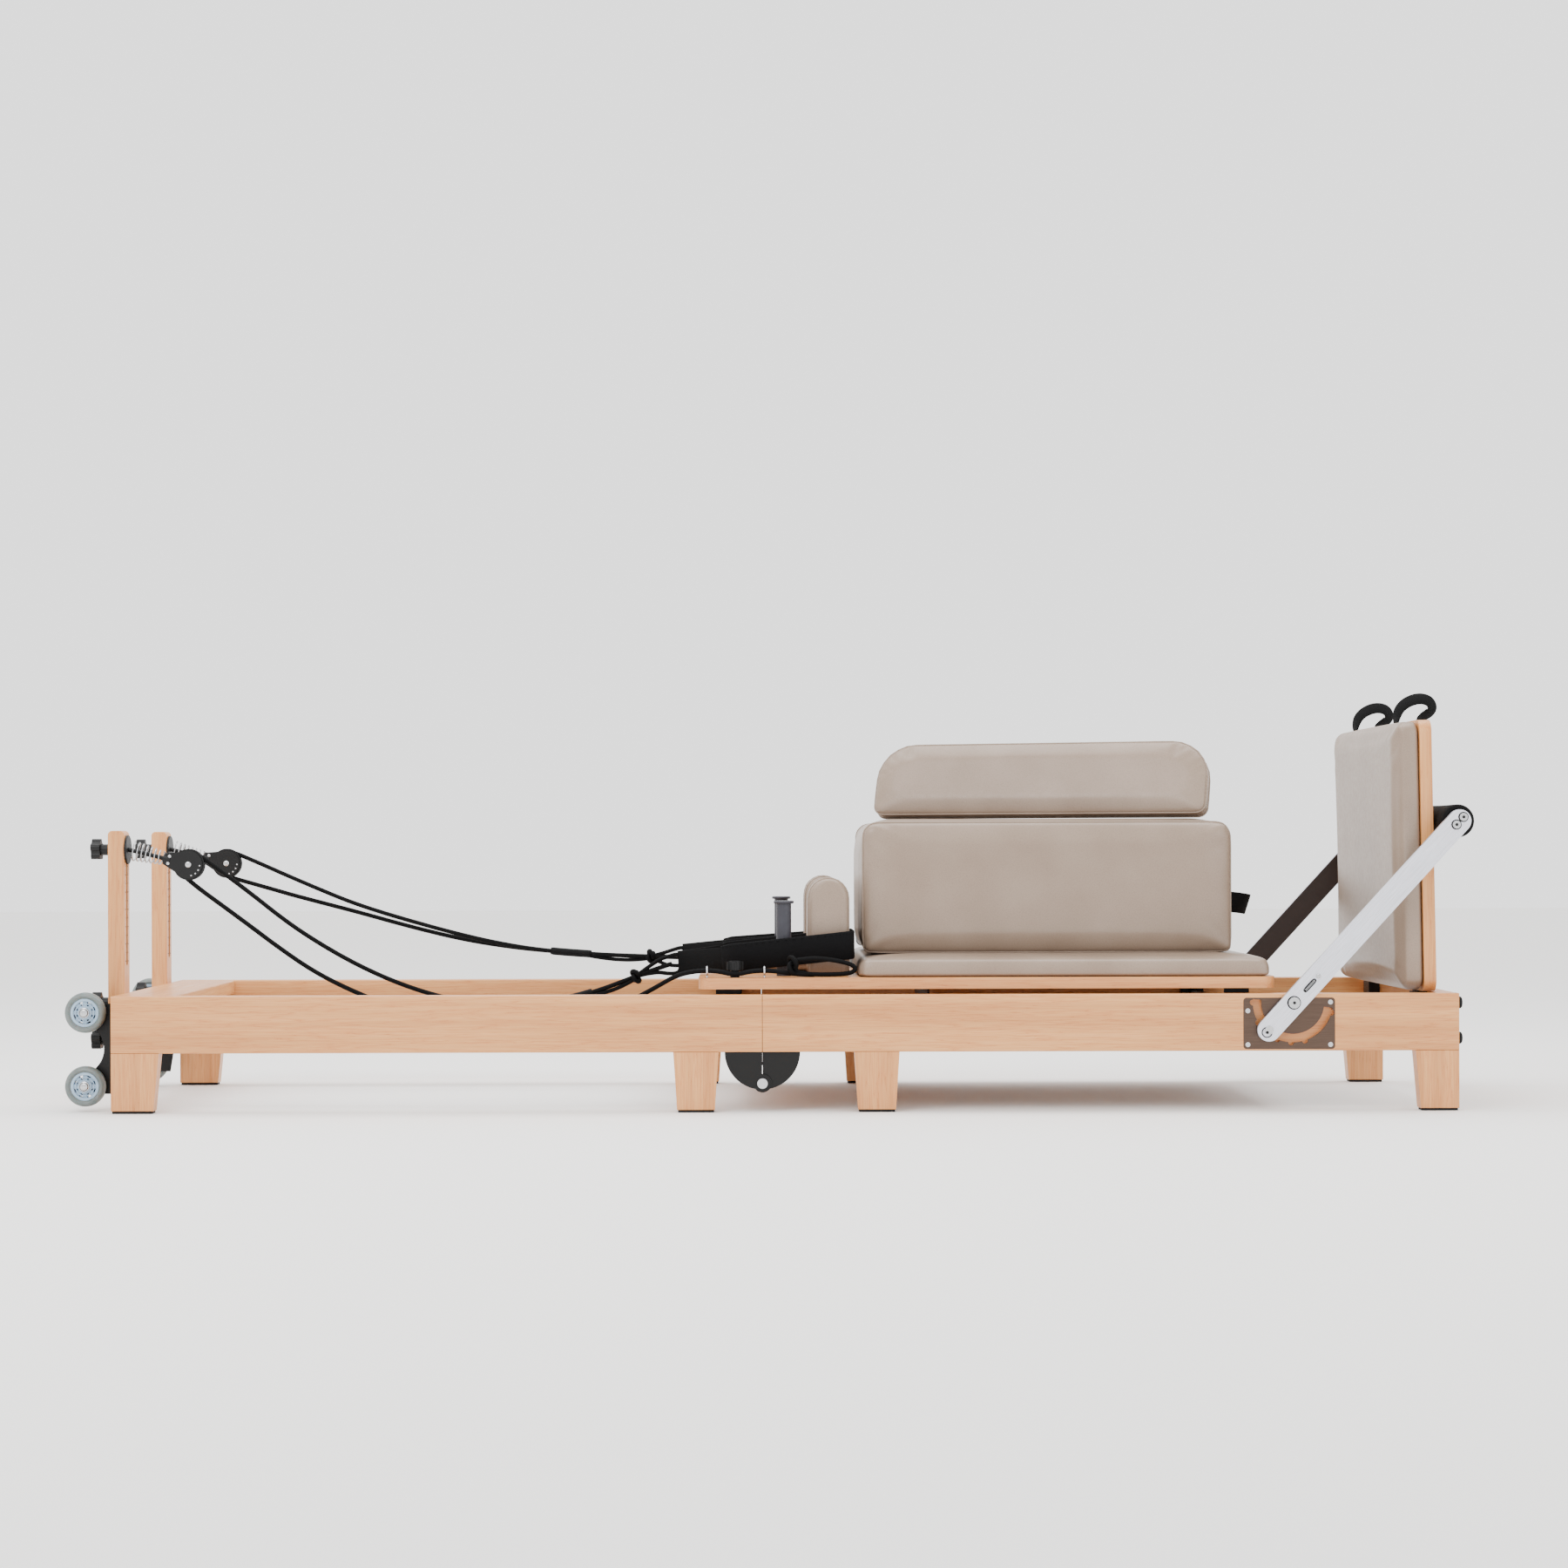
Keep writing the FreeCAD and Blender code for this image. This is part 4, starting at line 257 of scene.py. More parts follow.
def finish_off(made, code, tone, stops, gloss, low, high, relief, depth):
    """Ends a finish whose patterns shade its colour, vary its roughness from low to high, and raise its skin."""
    tree = made.node_tree
    shader = tree.nodes["Principled BSDF"]
    shades = add(tree, "ShaderNodeValToRGB", {0: tone}, stops=stops)
    tree.links.new(mixed(tree, 1.0, code, shades.outputs["Color"], "MULTIPLY"), shader.inputs["Base Color"])
    rough(tree, shader, gloss, low, high)
    emboss(tree, shader, relief, depth)
    return made


def moulded_plastic(name, code, roughness=0.45, grain=0.00006):
    """Injection-moulded nylon or ABS with a spark-eroded texture: fine grit and a low gloss."""
    made, tree, _, point = start_finish(name, code, roughness, Specular_IOR_Level=0.28)
    grit = add(tree, "ShaderNodeTexNoise", {"Vector": point, "Scale": 1 / 1.3, "Detail": 3.0}).outputs["Fac"]
    flow = add(tree, "ShaderNodeTexNoise", {"Vector": point, "Scale": 1 / 22.0, "Detail": 2.0}).outputs["Fac"]
    return finish_off(made, code, flow, [(0.3, "#E4E4E6"), (0.7, "#FFFFFF")],
                      grit, roughness - 0.07, roughness + 0.08, grit, grain)


def brushed_metal(name, code, roughness, turn=(0, 0, 0), stretch=(0.02, 1, 1)):
    """Metal brushed or drawn along one axis: fine long scratches that spread the shine across them."""
    made, tree, _, point = start_finish(name, code, roughness, 1.0, turn=turn, stretch=stretch)
    scratch = add(tree, "ShaderNodeTexNoise", {
        "Vector": point, "Scale": 1 / 1.1, "Detail": 5.0, "Roughness": 0.7}).outputs["Fac"]
    stain = add(tree, "ShaderNodeTexNoise", {"Vector": point, "Scale": 1 / 30.0, "Detail": 2.0}).outputs["Fac"]
    return finish_off(made, code, scratch, [(0.3, "#DADADA"), (0.65, "#FFFFFF")],
                      stain, roughness - 0.06, roughness + 0.08, scratch, 0.00003)


def paint_shade_on_inner_faces(made, code):
    """Painted shade: faces turned towards the frame's middle get a dark colour mixed in, standing for their shadow and
    dark reflection.
    """
    tree = made.node_tree
    shader = tree.nodes["Principled BSDF"]
    outer = shader.inputs["Base Color"].links[0].from_socket
    place = add(tree, "ShaderNodeSeparateXYZ", {0: add(tree, "ShaderNodeTexCoord").outputs["Object"]})
    facing = add(tree, "ShaderNodeSeparateXYZ", {0: add(tree, "ShaderNodeNewGeometry").outputs["Normal"]})
    inward = add(tree, "ShaderNodeMath", {0: place.outputs["Y"], 1: facing.outputs["Y"]}, operation="MULTIPLY")
    # the painted shade's mask: one on faces that look towards the frame's middle
    inner = add(tree, "ShaderNodeMapRange", {0: inward.outputs[0], 1: -0.3, 2: -0.2, 3: 1.0, 4: 0.0})
    tree.links.new(mixed(tree, inner.outputs["Result"], outer, code), shader.inputs["Base Color"])


def powder_coat(name, code):
    """Steel powder-coated and baked: a faint orange-peel skin with a satin gloss."""
    made, tree, _, point = start_finish(name, code, 0.4, Specular_IOR_Level=0.25)
    peel = add(tree, "ShaderNodeTexNoise", {"Vector": point, "Scale": 1 / 2.2, "Detail": 2.0}).outputs["Fac"]
    return finish_off(made, code, peel, [(0.3, "#E8E8E8"), (0.7, "#FFFFFF")], peel, 0.34, 0.48, peel, 0.00008)


def moulded_foam(name, code):
    """Closed-cell foam tube with its moulded skin: dull, with small open cells."""
    made, tree, _, point = start_finish(name, code, 0.82, Specular_IOR_Level=0.15)
    cells = add(tree, "ShaderNodeTexVoronoi", {"Vector": point, "Scale": 1 / 1.5}, feature="F1").outputs["Distance"]
    return finish_off(made, code, cells, [(0.1, "#FFFFFF"), (0.7, "#B4B4B4")], cells, 0.74, 0.9, cells, 0.0002)


def woven(name, code, across, along, roughness=0.75):
    """Woven or braided polyester, drawn on the piece's own map: crossing yarns of the given size in millimetres."""
    made, tree, _, point = start_finish(name, code, roughness, source="UV", Specular_IOR_Level=0.12)
    split = add(tree, "ShaderNodeSeparateXYZ", {0: point})
    waves = []
    for sign in (1.0, -1.0):
        slant = add(tree, "ShaderNodeMath", {0: split.outputs["X"], 1: 1 / across}, operation="MULTIPLY")
        phase = add(tree, "ShaderNodeMath", {0: split.outputs["Y"], 1: sign / along, 2: slant.outputs[0]},
                    operation="MULTIPLY_ADD")
        turns = add(tree, "ShaderNodeMath", {0: phase.outputs[0], 1: math.tau}, operation="MULTIPLY")
        waves.append(add(tree, "ShaderNodeMath", {0: turns.outputs[0]}, operation="SINE"))
    weave = add(tree, "ShaderNodeMath", {0: waves[0].outputs[0], 1: waves[1].outputs[0]}, operation="MULTIPLY")
    level = add(tree, "ShaderNodeMapRange", {0: weave.outputs[0], 1: -1.0, 2: 1.0, 3: 0.0, 4: 1.0}).outputs["Result"]
    fuzz = add(tree, "ShaderNodeTexNoise", {"Vector": point, "Scale": 1 / 0.9, "Detail": 3.0}).outputs["Fac"]
    return finish_off(made, code, level, [(0.15, "#B4B4B4"), (0.75, "#FFFFFF")],
                      fuzz, roughness - 0.08, roughness + 0.1, level, 0.0004)


def cast_tyre(name, code):
    """Cast polyurethane tyre: cloudy, lets some light through, scuffed where it rolls."""
    made, tree, _, point = start_finish(name, code, 0.35, Subsurface_Weight=0.25, Subsurface_Scale=0.004)
    scuff = add(tree, "ShaderNodeTexNoise", {"Vector": point, "Scale": 1 / 3.0, "Detail": 5.0}).outputs["Fac"]
    haze = add(tree, "ShaderNodeTexNoise", {"Vector": point, "Scale": 1 / 14.0, "Detail": 2.0}).outputs["Fac"]
    return finish_off(made, code, haze, [(0.3, "#E2E6E4"), (0.7, "#FFFFFF")], scuff, 0.25, 0.5, scuff, 0.00008)


def dress(piece, material):
    """Gives a piece its material in every slot."""
    if piece.data.materials:
        for index in range(len(piece.data.materials)):
            piece.data.materials[index] = material
    else:
        piece.data.materials.append(material)
    return piece


def fit(piece, finish, body, node=None):
    """A piece's finish, slot and body, and the CAD part that it stands for."""
    dress(piece, bpy.data.materials[finish])
    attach(piece, body)
    if node:
        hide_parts(node)
    return piece


# ---------------------------------------------------------------- modelling

def begin(name, primitive, **place):
    """A primitive at its size and place, with nothing else selected."""
    if bpy.context.object and bpy.context.object.mode != "OBJECT":
        bpy.ops.object.mode_set(mode="OBJECT")
    bpy.ops.object.select_all(action="DESELECT")
    primitive(**place)
    piece = bpy.context.active_object
    piece.name = name
    piece.data.name = name
    bpy.ops.object.transform_apply(location=True, rotation=True, scale=True)
    return piece


def block(name, low, high):
    """A block between two corners, to shape further."""
    return begin(name, bpy.ops.mesh.primitive_cube_add, size=1,
                 location=(Vector(low) + Vector(high)) / 2, scale=Vector(high) - Vector(low))


def edit():
    """Enters edit mode on the active piece."""
    bpy.ops.object.mode_set(mode="EDIT")


def leave():
    """Goes back to object mode."""
    bpy.ops.object.mode_set(mode="OBJECT")


def pick(kind, test):
    """In edit mode, selects only the vertices, edges or faces that pass the test."""
    bpy.ops.mesh.select_mode(type=kind)
    bpy.ops.mesh.select_all(action="DESELECT")
    shape = bmesh.from_edit_mesh(bpy.context.edit_object.data)
    shape.verts.ensure_lookup_table()
    for item in {"VERT": shape.verts, "EDGE": shape.edges, "FACE": shape.faces}[kind]:
        if test(item):
            item.select_set(True)
    shape.select_flush_mode()
    bmesh.update_edit_mesh(bpy.context.edit_object.data)


def along(edge, axis):
    """Whether an edge runs along an axis, given by its number."""
    run = edge.verts[1].co - edge.verts[0].co
    return abs(run[axis]) > 0.98 * run.length


def middle(edge):
    """The place halfway along an edge."""
    return (edge.verts[0].co + edge.verts[1].co) / 2


def bevel(test, offset, segments):
    """In edit mode, rounds the edges that pass the test."""
    pick("EDGE", test)
    bpy.ops.mesh.bevel(offset=offset, segments=segments, affect="EDGES")


def only(piece):
    """Makes this the one selected and active object."""
    bpy.ops.object.select_all(action="DESELECT")
    piece.select_set(True)
    bpy.context.view_layer.objects.active = piece


def apply(piece, kind, **settings):
    """Adds a modifier with its settings and applies it."""
    only(piece)
    modifier = piece.modifiers.new(kind.title(), kind)
    for key, value in settings.items():
        setattr(modifier, key, value)
    bpy.ops.object.modifier_apply(modifier=modifier.name)
    return piece


def smooth(piece, angle=35):
    """Smooth shading, except over edges sharper than an angle in degrees."""
    only(piece)
    bpy.ops.object.shade_smooth_by_angle(angle=math.radians(angle))
    return piece


def copied(piece, name, change):
    """A copy with its own mesh, moved, turned or mirrored by a matrix."""
    twin = piece.copy()
    twin.data = piece.data.copy()
    twin.name = twin.data.name = name
    bpy.context.collection.objects.link(twin)
    twin.data.transform(change)
    if change.determinant() < 0:
        twin.data.flip_normals()
    return twin


def joined(name, pieces):
    """Several pieces made one."""
    bpy.ops.object.select_all(action="DESELECT")
    for piece in pieces:
        piece.select_set(True)
    bpy.context.view_layer.objects.active = pieces[0]
    if len(pieces) > 1:
        bpy.ops.object.join()
    pieces[0].name = pieces[0].data.name = name
    return pieces[0]


def mirror_y(piece, name):
    """A copy on the other side of the frame."""
    return copied(piece, name, Matrix.Scale(-1, 4, (0, 1, 0)))


def round_outline(radius, sides=10):
    """The section of a round cord."""
    return [(radius * math.cos(math.tau * i / sides), radius * math.sin(math.tau * i / sides)) for i in range(sides)]


def flat_outline(width, thick):
    """The section of a webbing strap: width along its first axis, with softened edges."""
    w, t = width / 2, thick / 2
    return [(w - t * 0.6, -t), (w, -t * 0.3), (w, t * 0.3), (w - t * 0.6, t), (0, t),
            (-w + t * 0.6, t), (-w, t * 0.3), (-w, -t * 0.3), (-w + t * 0.6, -t), (0, -t)]


def smooth_line(points, closed=False, steps=12):
    """Points along the smooth spline that has the given control points."""
    line = bpy.data.curves.new("line", "CURVE")
    line.dimensions = "3D"
    spline = line.splines.new("NURBS")
    spline.points.add(len(points) - 1)
    for knot, point in zip(spline.points, points):
        knot.co = (*point, 1.0)
    spline.order_u = 3
    spline.use_cyclic_u = closed
    spline.use_endpoint_u = not closed
    spline.resolution_u = steps
    holder = bpy.data.objects.new("line", line)
    mesh = bpy.data.meshes.new_from_object(holder)
    read = [vertex.co.copy() for vertex in mesh.vertices]
    bpy.data.objects.remove(holder)
    bpy.data.curves.remove(line)
    bpy.data.meshes.remove(mesh)
    return read


def sweep(name, points, outline, across=None, closed=False, scales=None):
    """A solid drawn along points. The outline's first axis follows across where it is given, and its map holds
    the distance round and along, in metres."""
    count = len(points)
    ahead = [(points[(i + 1) % count] - points[i - 1]) if closed or 0 < i < count - 1
             else points[min(i + 1, count - 1)] - points[max(i - 1, 0)] for i in range(count)]
    ahead = [step.normalized() for step in ahead]
    if across is None:
        side = ahead[0].orthogonal().normalized()
        sides = []
        for i, step in enumerate(ahead):
            if i:
                side = ahead[i - 1].rotation_difference(step) @ side
            side = (side - step * side.dot(step)).normalized()
            sides.append(side.copy())
    else:
        given = across if isinstance(across, list) else [Vector(across)] * count
        sides = [(s - step * s.dot(step)).normalized() for s, step in zip(given, ahead)]
    shape = bmesh.new()
    rings = []
    for i, (point, step, side) in enumerate(zip(points, ahead, sides)):
        up = step.cross(side)
        grow = scales[i] if scales else 1.0
        rings.append([shape.verts.new(point + (side * a + up * b) * grow) for a, b in outline])
    chart = shape.loops.layers.uv.new("UVMap")
    round_length = [0.0]
    for i, (a, b) in enumerate(outline):
        after = outline[(i + 1) % len(outline)]
        round_length.append(round_length[-1] + math.hypot(after[0] - a, after[1] - b))
    walked = [0.0]
    for i in range(count if closed else count - 1):
        walked.append(walked[-1] + (points[(i + 1) % count] - points[i]).length)
    for i in range(count if closed else count - 1):
        ring, after = rings[i], rings[(i + 1) % count]
        for j in range(len(outline)):
            k = (j + 1) % len(outline)
            face = shape.faces.new((ring[j], ring[k], after[k], after[j]))
            face.smooth = True
            for loop, u, v in zip(face.loops, (j, j + 1, j + 1, j), (i, i, i + 1, i + 1)):
                loop[chart].uv = (round_length[u], walked[v])
    if not closed:
        for ring in (list(reversed(rings[0])), rings[-1]):
            face = shape.faces.new(ring)
            for loop in face.loops:
                loop[chart].uv = (0.0, 0.0)
    mesh = bpy.data.meshes.new(name)
    shape.to_mesh(mesh)
    shape.free()
    piece = bpy.data.objects.new(name, mesh)
    bpy.context.collection.objects.link(piece)
    return piece


CLOTH_FRAMES = 20


def swell(piece, cap, held=None, pressure=4.0, voxel=None):
    """Fills a closed shape with pressure as cloth. No point moves further than cap, and points where held(co) is
    true stay, as at a seam or a stapled edge."""
    voxel = voxel or bpy.context.scene.reformer_sizes.voxel
    apply(piece, "REMESH", mode="VOXEL", voxel_size=voxel, use_smooth_shade=True)
    apply(piece, "SMOOTH", factor=0.5, iterations=3)
    before = [vertex.co.copy() for vertex in piece.data.vertices]
    if held:
        group = piece.vertex_groups.new(name="seam")
        group.add([v.index for v in piece.data.vertices if held(v.co)], 1.0, "REPLACE")
    only(piece)
    modifier = piece.modifiers.new("Cloth", "CLOTH")
    cloth = modifier.settings
    cloth.use_pressure = True
    cloth.uniform_pressure_force = pressure
    cloth.effector_weights.gravity = 0.0
    cloth.quality = 4
    if held:
        cloth.vertex_group_mass = "seam"
    modifier.collision_settings.use_collision = False
    modifier.point_cache.frame_start, modifier.point_cache.frame_end = 1, CLOTH_FRAMES
    for step in range(1, CLOTH_FRAMES + 1):
        bpy.context.scene.frame_set(step)
    bpy.ops.object.modifier_apply(modifier=modifier.name)
    bpy.context.scene.frame_set(1)
    for vertex, rest in zip(piece.data.vertices, before):
        moved = vertex.co - rest
        if moved.length > cap:
            vertex.co = rest + moved * (cap / moved.length)
    piece.vertex_groups.clear()
    apply(piece, "SUBSURF", levels=1, render_levels=1)
    piece.data.shade_smooth()
    return piece


def settle_on(piece, points, proud):
    """The points moved onto a piece's surface and out from it by a distance."""
    tree = BVHTree.FromPolygons([v.co for v in piece.data.vertices], [p.vertices for p in piece.data.polygons])
    found = [tree.find_nearest(point) for point in points]
    return [place + normal * proud for place, normal, _, _ in found]


def piping(name, points, body, on=None):
    """A vinyl-covered cord sewn round a seam, with the ridge of its seam allowance."""
    radius = bpy.context.scene.reformer_sizes.piping_diameter / 2
    if on:
        points = settle_on(on, points, radius * 0.35)
    return fit(sweep(name, points, round_outline(radius, 8), closed=True), "calendered_vinyl", body)


def rounded_rectangle(low, high, radii, steps=6, spacing=0.02):
    """Points round a rectangle with rounded corners, given as (a, b) pairs; radii go round from the low corner."""
    (a0, b0), (a1, b1) = low, high
    corners = [(a0, b0, 180), (a1, b0, 270), (a1, b1, 0), (a0, b1, 90)]
    inward = [(1, 1), (-1, 1), (-1, -1), (1, -1)]
    path = []
    for (a, b, start), (da, db), radius in zip(corners, inward, radii):
        centre = (a + da * radius, b + db * radius)
        for i in range(steps + 1):
            angle = math.radians(start + 90 * i / steps)
            path.append((centre[0] + radius * math.cos(angle), centre[1] + radius * math.sin(angle)))
    full = []
    for (a, b), (c, d) in zip(path, path[1:] + path[:1]):
        pieces = max(1, round(math.hypot(c - a, d - b) / spacing))
        full += [(a + (c - a) * i / pieces, b + (d - b) * i / pieces) for i in range(pieces)]
    return full


# ---------------------------------------------------------------- stage and finishes

WORLD_LIGHT = 2.0
# each lamp's place, size and power
LAMPS = (("key", (-1.8, -3.0, 2.8), (2.2, 1.4), 60.0),
         ("fill", (2.8, -2.6, 1.4), (1.6, 1.6), 20.0),
         ("overhead", (0.0, 0.2, 3.0), (3.6, 1.6), 90.0))
LIT_POINT = Vector((0.0, 0.0, 0.25))
CAMERA_PLACE = (FOLD_X - 0.015, -5.506, 0.466)
CAMERA_ROLL = 0.155
CAMERA_LENS = 67.944
CAMERA_SHIFT = (0.0196, 0.0394)


class REFORMER_OT_stage(bpy.types.Operator):
    """Pale floor, soft studio light and the camera"""
    bl_idname = "reformer.stage"
    bl_label = "Stage"

    def execute(self, context):
        world = bpy.data.worlds.new("studio")
        context.scene.world = world
        world.use_nodes = True
        backdrop = world.node_tree.nodes["Background"]
        backdrop.inputs["Color"].default_value = (1.0, 1.0, 1.0, 1.0)
        backdrop.inputs["Strength"].default_value = WORLD_LIGHT
        floor = begin("floor", bpy.ops.mesh.primitive_plane_add, size=24.0, location=(0, 4.0, -0.0005))
        paper, tree, shader, point = start_finish("matte_paper", "#F7F6F4", 0.9, Specular_IOR_Level=0.1)
        tooth = add(tree, "ShaderNodeTexNoise", {"Vector": point, "Scale": 1 / 4.0, "Detail": 3.0})
        rough(tree, shader, tooth.outputs["Fac"], 0.85, 0.95)
        dress(floor, paper)
        for name, place, size, power in LAMPS:
            lamp = bpy.data.lights.new(name, "AREA")
            lamp.shape = "RECTANGLE"
            lamp.size, lamp.size_y = size
            lamp.energy = power
            holder = bpy.data.objects.new(name, lamp)
            context.collection.objects.link(holder)
            holder.location = place
            holder.rotation_euler = (LIT_POINT - Vector(place)).to_track_quat("-Z", "Y").to_euler()
        lens = bpy.data.cameras.new("camera")
        lens.lens = CAMERA_LENS
        lens.sensor_width = 36.0
        lens.shift_x, lens.shift_y = CAMERA_SHIFT
        lens.clip_end = 100.0
        camera = bpy.data.objects.new("camera", lens)
        context.collection.objects.link(camera)
        camera.location = CAMERA_PLACE
        camera.rotation_euler = (math.radians(90), math.radians(CAMERA_ROLL), 0.0)
        context.scene.camera = camera
        return {"FINISHED"}


# the footbar's arms, from level
ARM_LEAN = 47.5
# the wood's grain runs along this axis of the frame
GRAINS = {
    "X": ("foot_rail_near", "foot_rail_far", "head_rail_near", "head_rail_far", "carriage_board"),
    "Y": ("foot_end_board", "head_end_board", "foot_joint_board", "head_joint_board", "head_platform"),
    "Z": ("foot_legs", "head_legs", "risers", "jumpboard_panel"),
}
CAD_FINISHES = {
    "moulded_rubber": ("foot_leg_pads", "head_leg_pads", "end_bumpers"),
    "powder_coated_steel": ("foot_hinge_plates", "head_hinge_plates", "wheel_brackets", "spring_bar",
                            "carriage_brackets", "jumpboard_posts", "jumpboard_sockets"),
    "nickel_plated_steel": ("frame_bolts", "footbar_bolts", "footbar_pivots"),
    "brushed_bronzed_steel": ("gear_plates",),
    "extruded_aluminium": ("head_tracks", "foot_tracks"),
    "anodised_aluminium_arm": ("footbar_arms", "footbar_tube"),
    "moulded_nylon_black": ("riser_knobs", "pulley_mounts", "pulley_blocks", "sheave_near", "sheave_far",
                            "carriage_axle_head", "carriage_axle_foot"),
    "moulded_abs_grey": ("rope_pegs",),
}


class REFORMER_OT_finishes(bpy.types.Operator):
    """Materials, and the finish of every CAD part that keeps its shape"""
    bl_idname = "reformer.finishes"
    bl_label = "Finishes"

    def execute(self, context):
        tones = context.scene.reformer_colours
        upholstery_vinyl("calendered_vinyl", tones.vinyl)
        upholstery_vinyl("calendered_vinyl_shaded", "#82705F")
        moulded_plastic("moulded_rubber", "#070707", 0.7, 0.0001)
        moulded_plastic("moulded_nylon_black", "#060607", 0.42)
        moulded_plastic("moulded_abs_grey", "#36363D", 0.4)
        moulded_plastic("moulded_nylon_hub", tones.hub, 0.35)
        moulded_plastic("engraved_ink", "#4A3B30", 0.7)
        powder_coat("powder_coated_steel", "#060606")
        brushed_metal("nickel_plated_steel", "#C9CACC", 0.22, stretch=(1, 1, 1))
        brushed_metal("drawn_spring_wire", "#B9BABC", 0.25, stretch=(1, 1, 1))
        brushed_metal("brushed_bronzed_steel", "#5A4A41", 0.36)
        brushed_metal("extruded_aluminium", "#B9BBBE", 0.35)
        # brushed along the bar, which leans in the XZ plane
        arm = brushed_metal("anodised_aluminium_arm", "#E4E5EE", 0.42, turn=(0, math.radians(ARM_LEAN), 0))
        # painted shade: the arms' inner faces are darkened to #453E3C for their shadow and dark reflection
        paint_shade_on_inner_faces(arm, "#453E3C")
        moulded_foam("skinned_closed_cell_foam", "#070707")
        woven("braided_polyester_rope", "#060607", 3.1, 5.0)
        woven("woven_polyester_webbing", "#050506", 2.4, 2.4)
        woven("padded_neoprene_strap", "#050507", 2.0, 2.0, 0.68)
        woven("heat_shrunk_sleeve", "#050506", 6.0, 60.0, 0.5)
        cast_tyre("cast_polyurethane_tyre", tones.tyre)
        for grain, nodes in GRAINS.items():
            timber = lacquered_maple(grain)
            for node in nodes:
                dress(frame["nodes"][node], timber)
        for name, nodes in CAD_FINISHES.items():
            for node in nodes:
                dress(frame["nodes"][node], bpy.data.materials[name])
        return {"FINISHED"}


# ---------------------------------------------------------------- ropes

# Points, in millimetres from the fold line: the tail that lies by the cleat, written for the far side,
# then under the board's edge to the pulley, round its wheel, and back to the hand strap.
TAIL = ((92, 287, 238.6), (60, 295, 239), (22, 300, 246.2), (-16, 300, 246.2), (-48, 300, 238.6), (-80, 300, 246.2),
        (-116, 299.5, 246.2))
NEAR_LOWER = ((-152, -292, 238), (-192, -283, 214), (-238, -272, 190), (-290, -260, 170), (-350, -249, 155),
              (-415, -239, 147), (-480, -230, 146), (-545, -221, 152), (-610, -213, 165), (-675, -206, 184),
              (-740, -200, 210), (-805, -196, 243), (-868, -193, 286), (-930, -192, 333))
NEAR_UPPER = ((-972, -192, 424), (-915, -192, 381), (-855, -192, 333), (-795, -193, 293), (-730, -194, 256),
              (-665, -196, 226), (-600, -198, 203), (-535, -199, 187), (-470, -199, 179), (-406, -198, 181),
              (-345, -195, 192), (-290, -190, 208), (-242, -185, 226), (-200, -180, 242), (-162, -176, 254))
FAR_LOWER = ((-152, 297, 247.5), (-196, 290, 249), (-252, 281, 251), (-316, 269, 255), (-380, 256, 260),
             (-446, 242, 266), (-512, 230, 275), (-578, 220, 287), (-644, 211, 303), (-710, 204, 321),
             (-776, 199, 340), (-840, 195, 357), (-900, 193, 373), (-958, 192, 390))
FAR_UPPER = ((-968, 192, 436), (-912, 192, 411), (-854, 192, 386), (-794, 193, 361), (-732, 194, 340),
             (-668, 195, 321), (-604, 196, 303), (-540, 197, 287), (-476, 197, 274), (-412, 196, 265),
             (-350, 193, 260), (-294, 188, 257), (-242, 183, 255), (-200, 179, 254), (-162, 176, 253))
# the forked end in the strap's tip, and the loop tied in the tail, both written for the far side
FORK = ((-190, 179, 260), (-166, 176, 268), (-151, 175, 272), (-146, 175, 264), (-146, 175, 246), (-151, 175, 237),
        (-168, 177, 236), (-192, 180, 240))
BIGHT = ((50, 292, 262), (82, 289, 268), (112, 286, 266), (142, 284, 261), (163, 283, 254), (165, 283, 245),
         (150, 284, 239.5), (122, 286, 238.6), (92, 288, 238.8), (70, 292, 241), (52, 293, 248))
# for each rope: its runs, the angles of the three corners round its wheel, where its sleeve and knot are, along X
ROPES = {
    "near": (NEAR_LOWER, NEAR_UPPER, (204.0, 144.0, 84.0), (-366, -304), -226),
    "far": (FAR_LOWER, FAR_UPPER, (222.7, 160.2, 97.7), (-409, -325), -211),
}
WRAP_RADIUS = 24.4
RUN_START = -118.0
# the hand strap's route round the peg and the shoulder rest, from above, and each strap's tilt in degrees
STRAP = ((-150, 176), (-132, 190), (-100, 219), (-62, 251), (-40, 257), (0, 257), (60, 257), (120, 257), (150, 257),
         (162, 250), (163, 220), (163, 170), (163, 110), (158, 96), (140, 94), (60, 94), (0, 94), (-50, 94),
         (-64, 98), (-100, 131), (-130, 158), (-150, 174))
STRAP_TILTS = {"near": 6.0, "far": 4.0}
STRAP_LEVEL_AT = -112         # where along X the strap's middle is STRAP_LIFT above the board
STRAP_LIFT = 24
STRAP_PAD_FROM = -74


def rope_route(side):
    """Every listed point of a rope, from its loose tail to its hand strap."""
    lower, upper, turns, _, _ = ROPES[side]
    axle = JOINTS["sheave_" + side + "_spin"]["pos_m"]
    reach = WRAP_RADIUS * MM / math.cos(math.radians(turns[0] - turns[1]) / 2)
    corners = [Vector(axle) + reach * Vector((math.cos(math.radians(a)), 0, math.sin(math.radians(a))))
               for a in turns]
    tail = [at(x, y * SIDES[side], z) for x, y, z in TAIL]
    return tail + [at(*p) for p in lower] + corners + [at(*p) for p in upper]


def knot(name, centre, ahead, size, thick):
    """An overhand knot: the rope passes three times round and twice through itself."""
    turns = []
    for i in range(18):
        t = math.tau * i / 18
        ring = size * (1.0 + 0.48 * math.cos(3 * t))
        turns.append(Vector((size * 0.62 * math.sin(3 * t), ring * math.cos(2 * t), ring * math.sin(2 * t))))
    lie = Vector((1, 0, 0)).rotation_difference(ahead)
    points = [centre + lie @ turn for turn in turns]
    return sweep(name, smooth_line(points, closed=True, steps=6), round_outline(thick / 2, 8), closed=True)


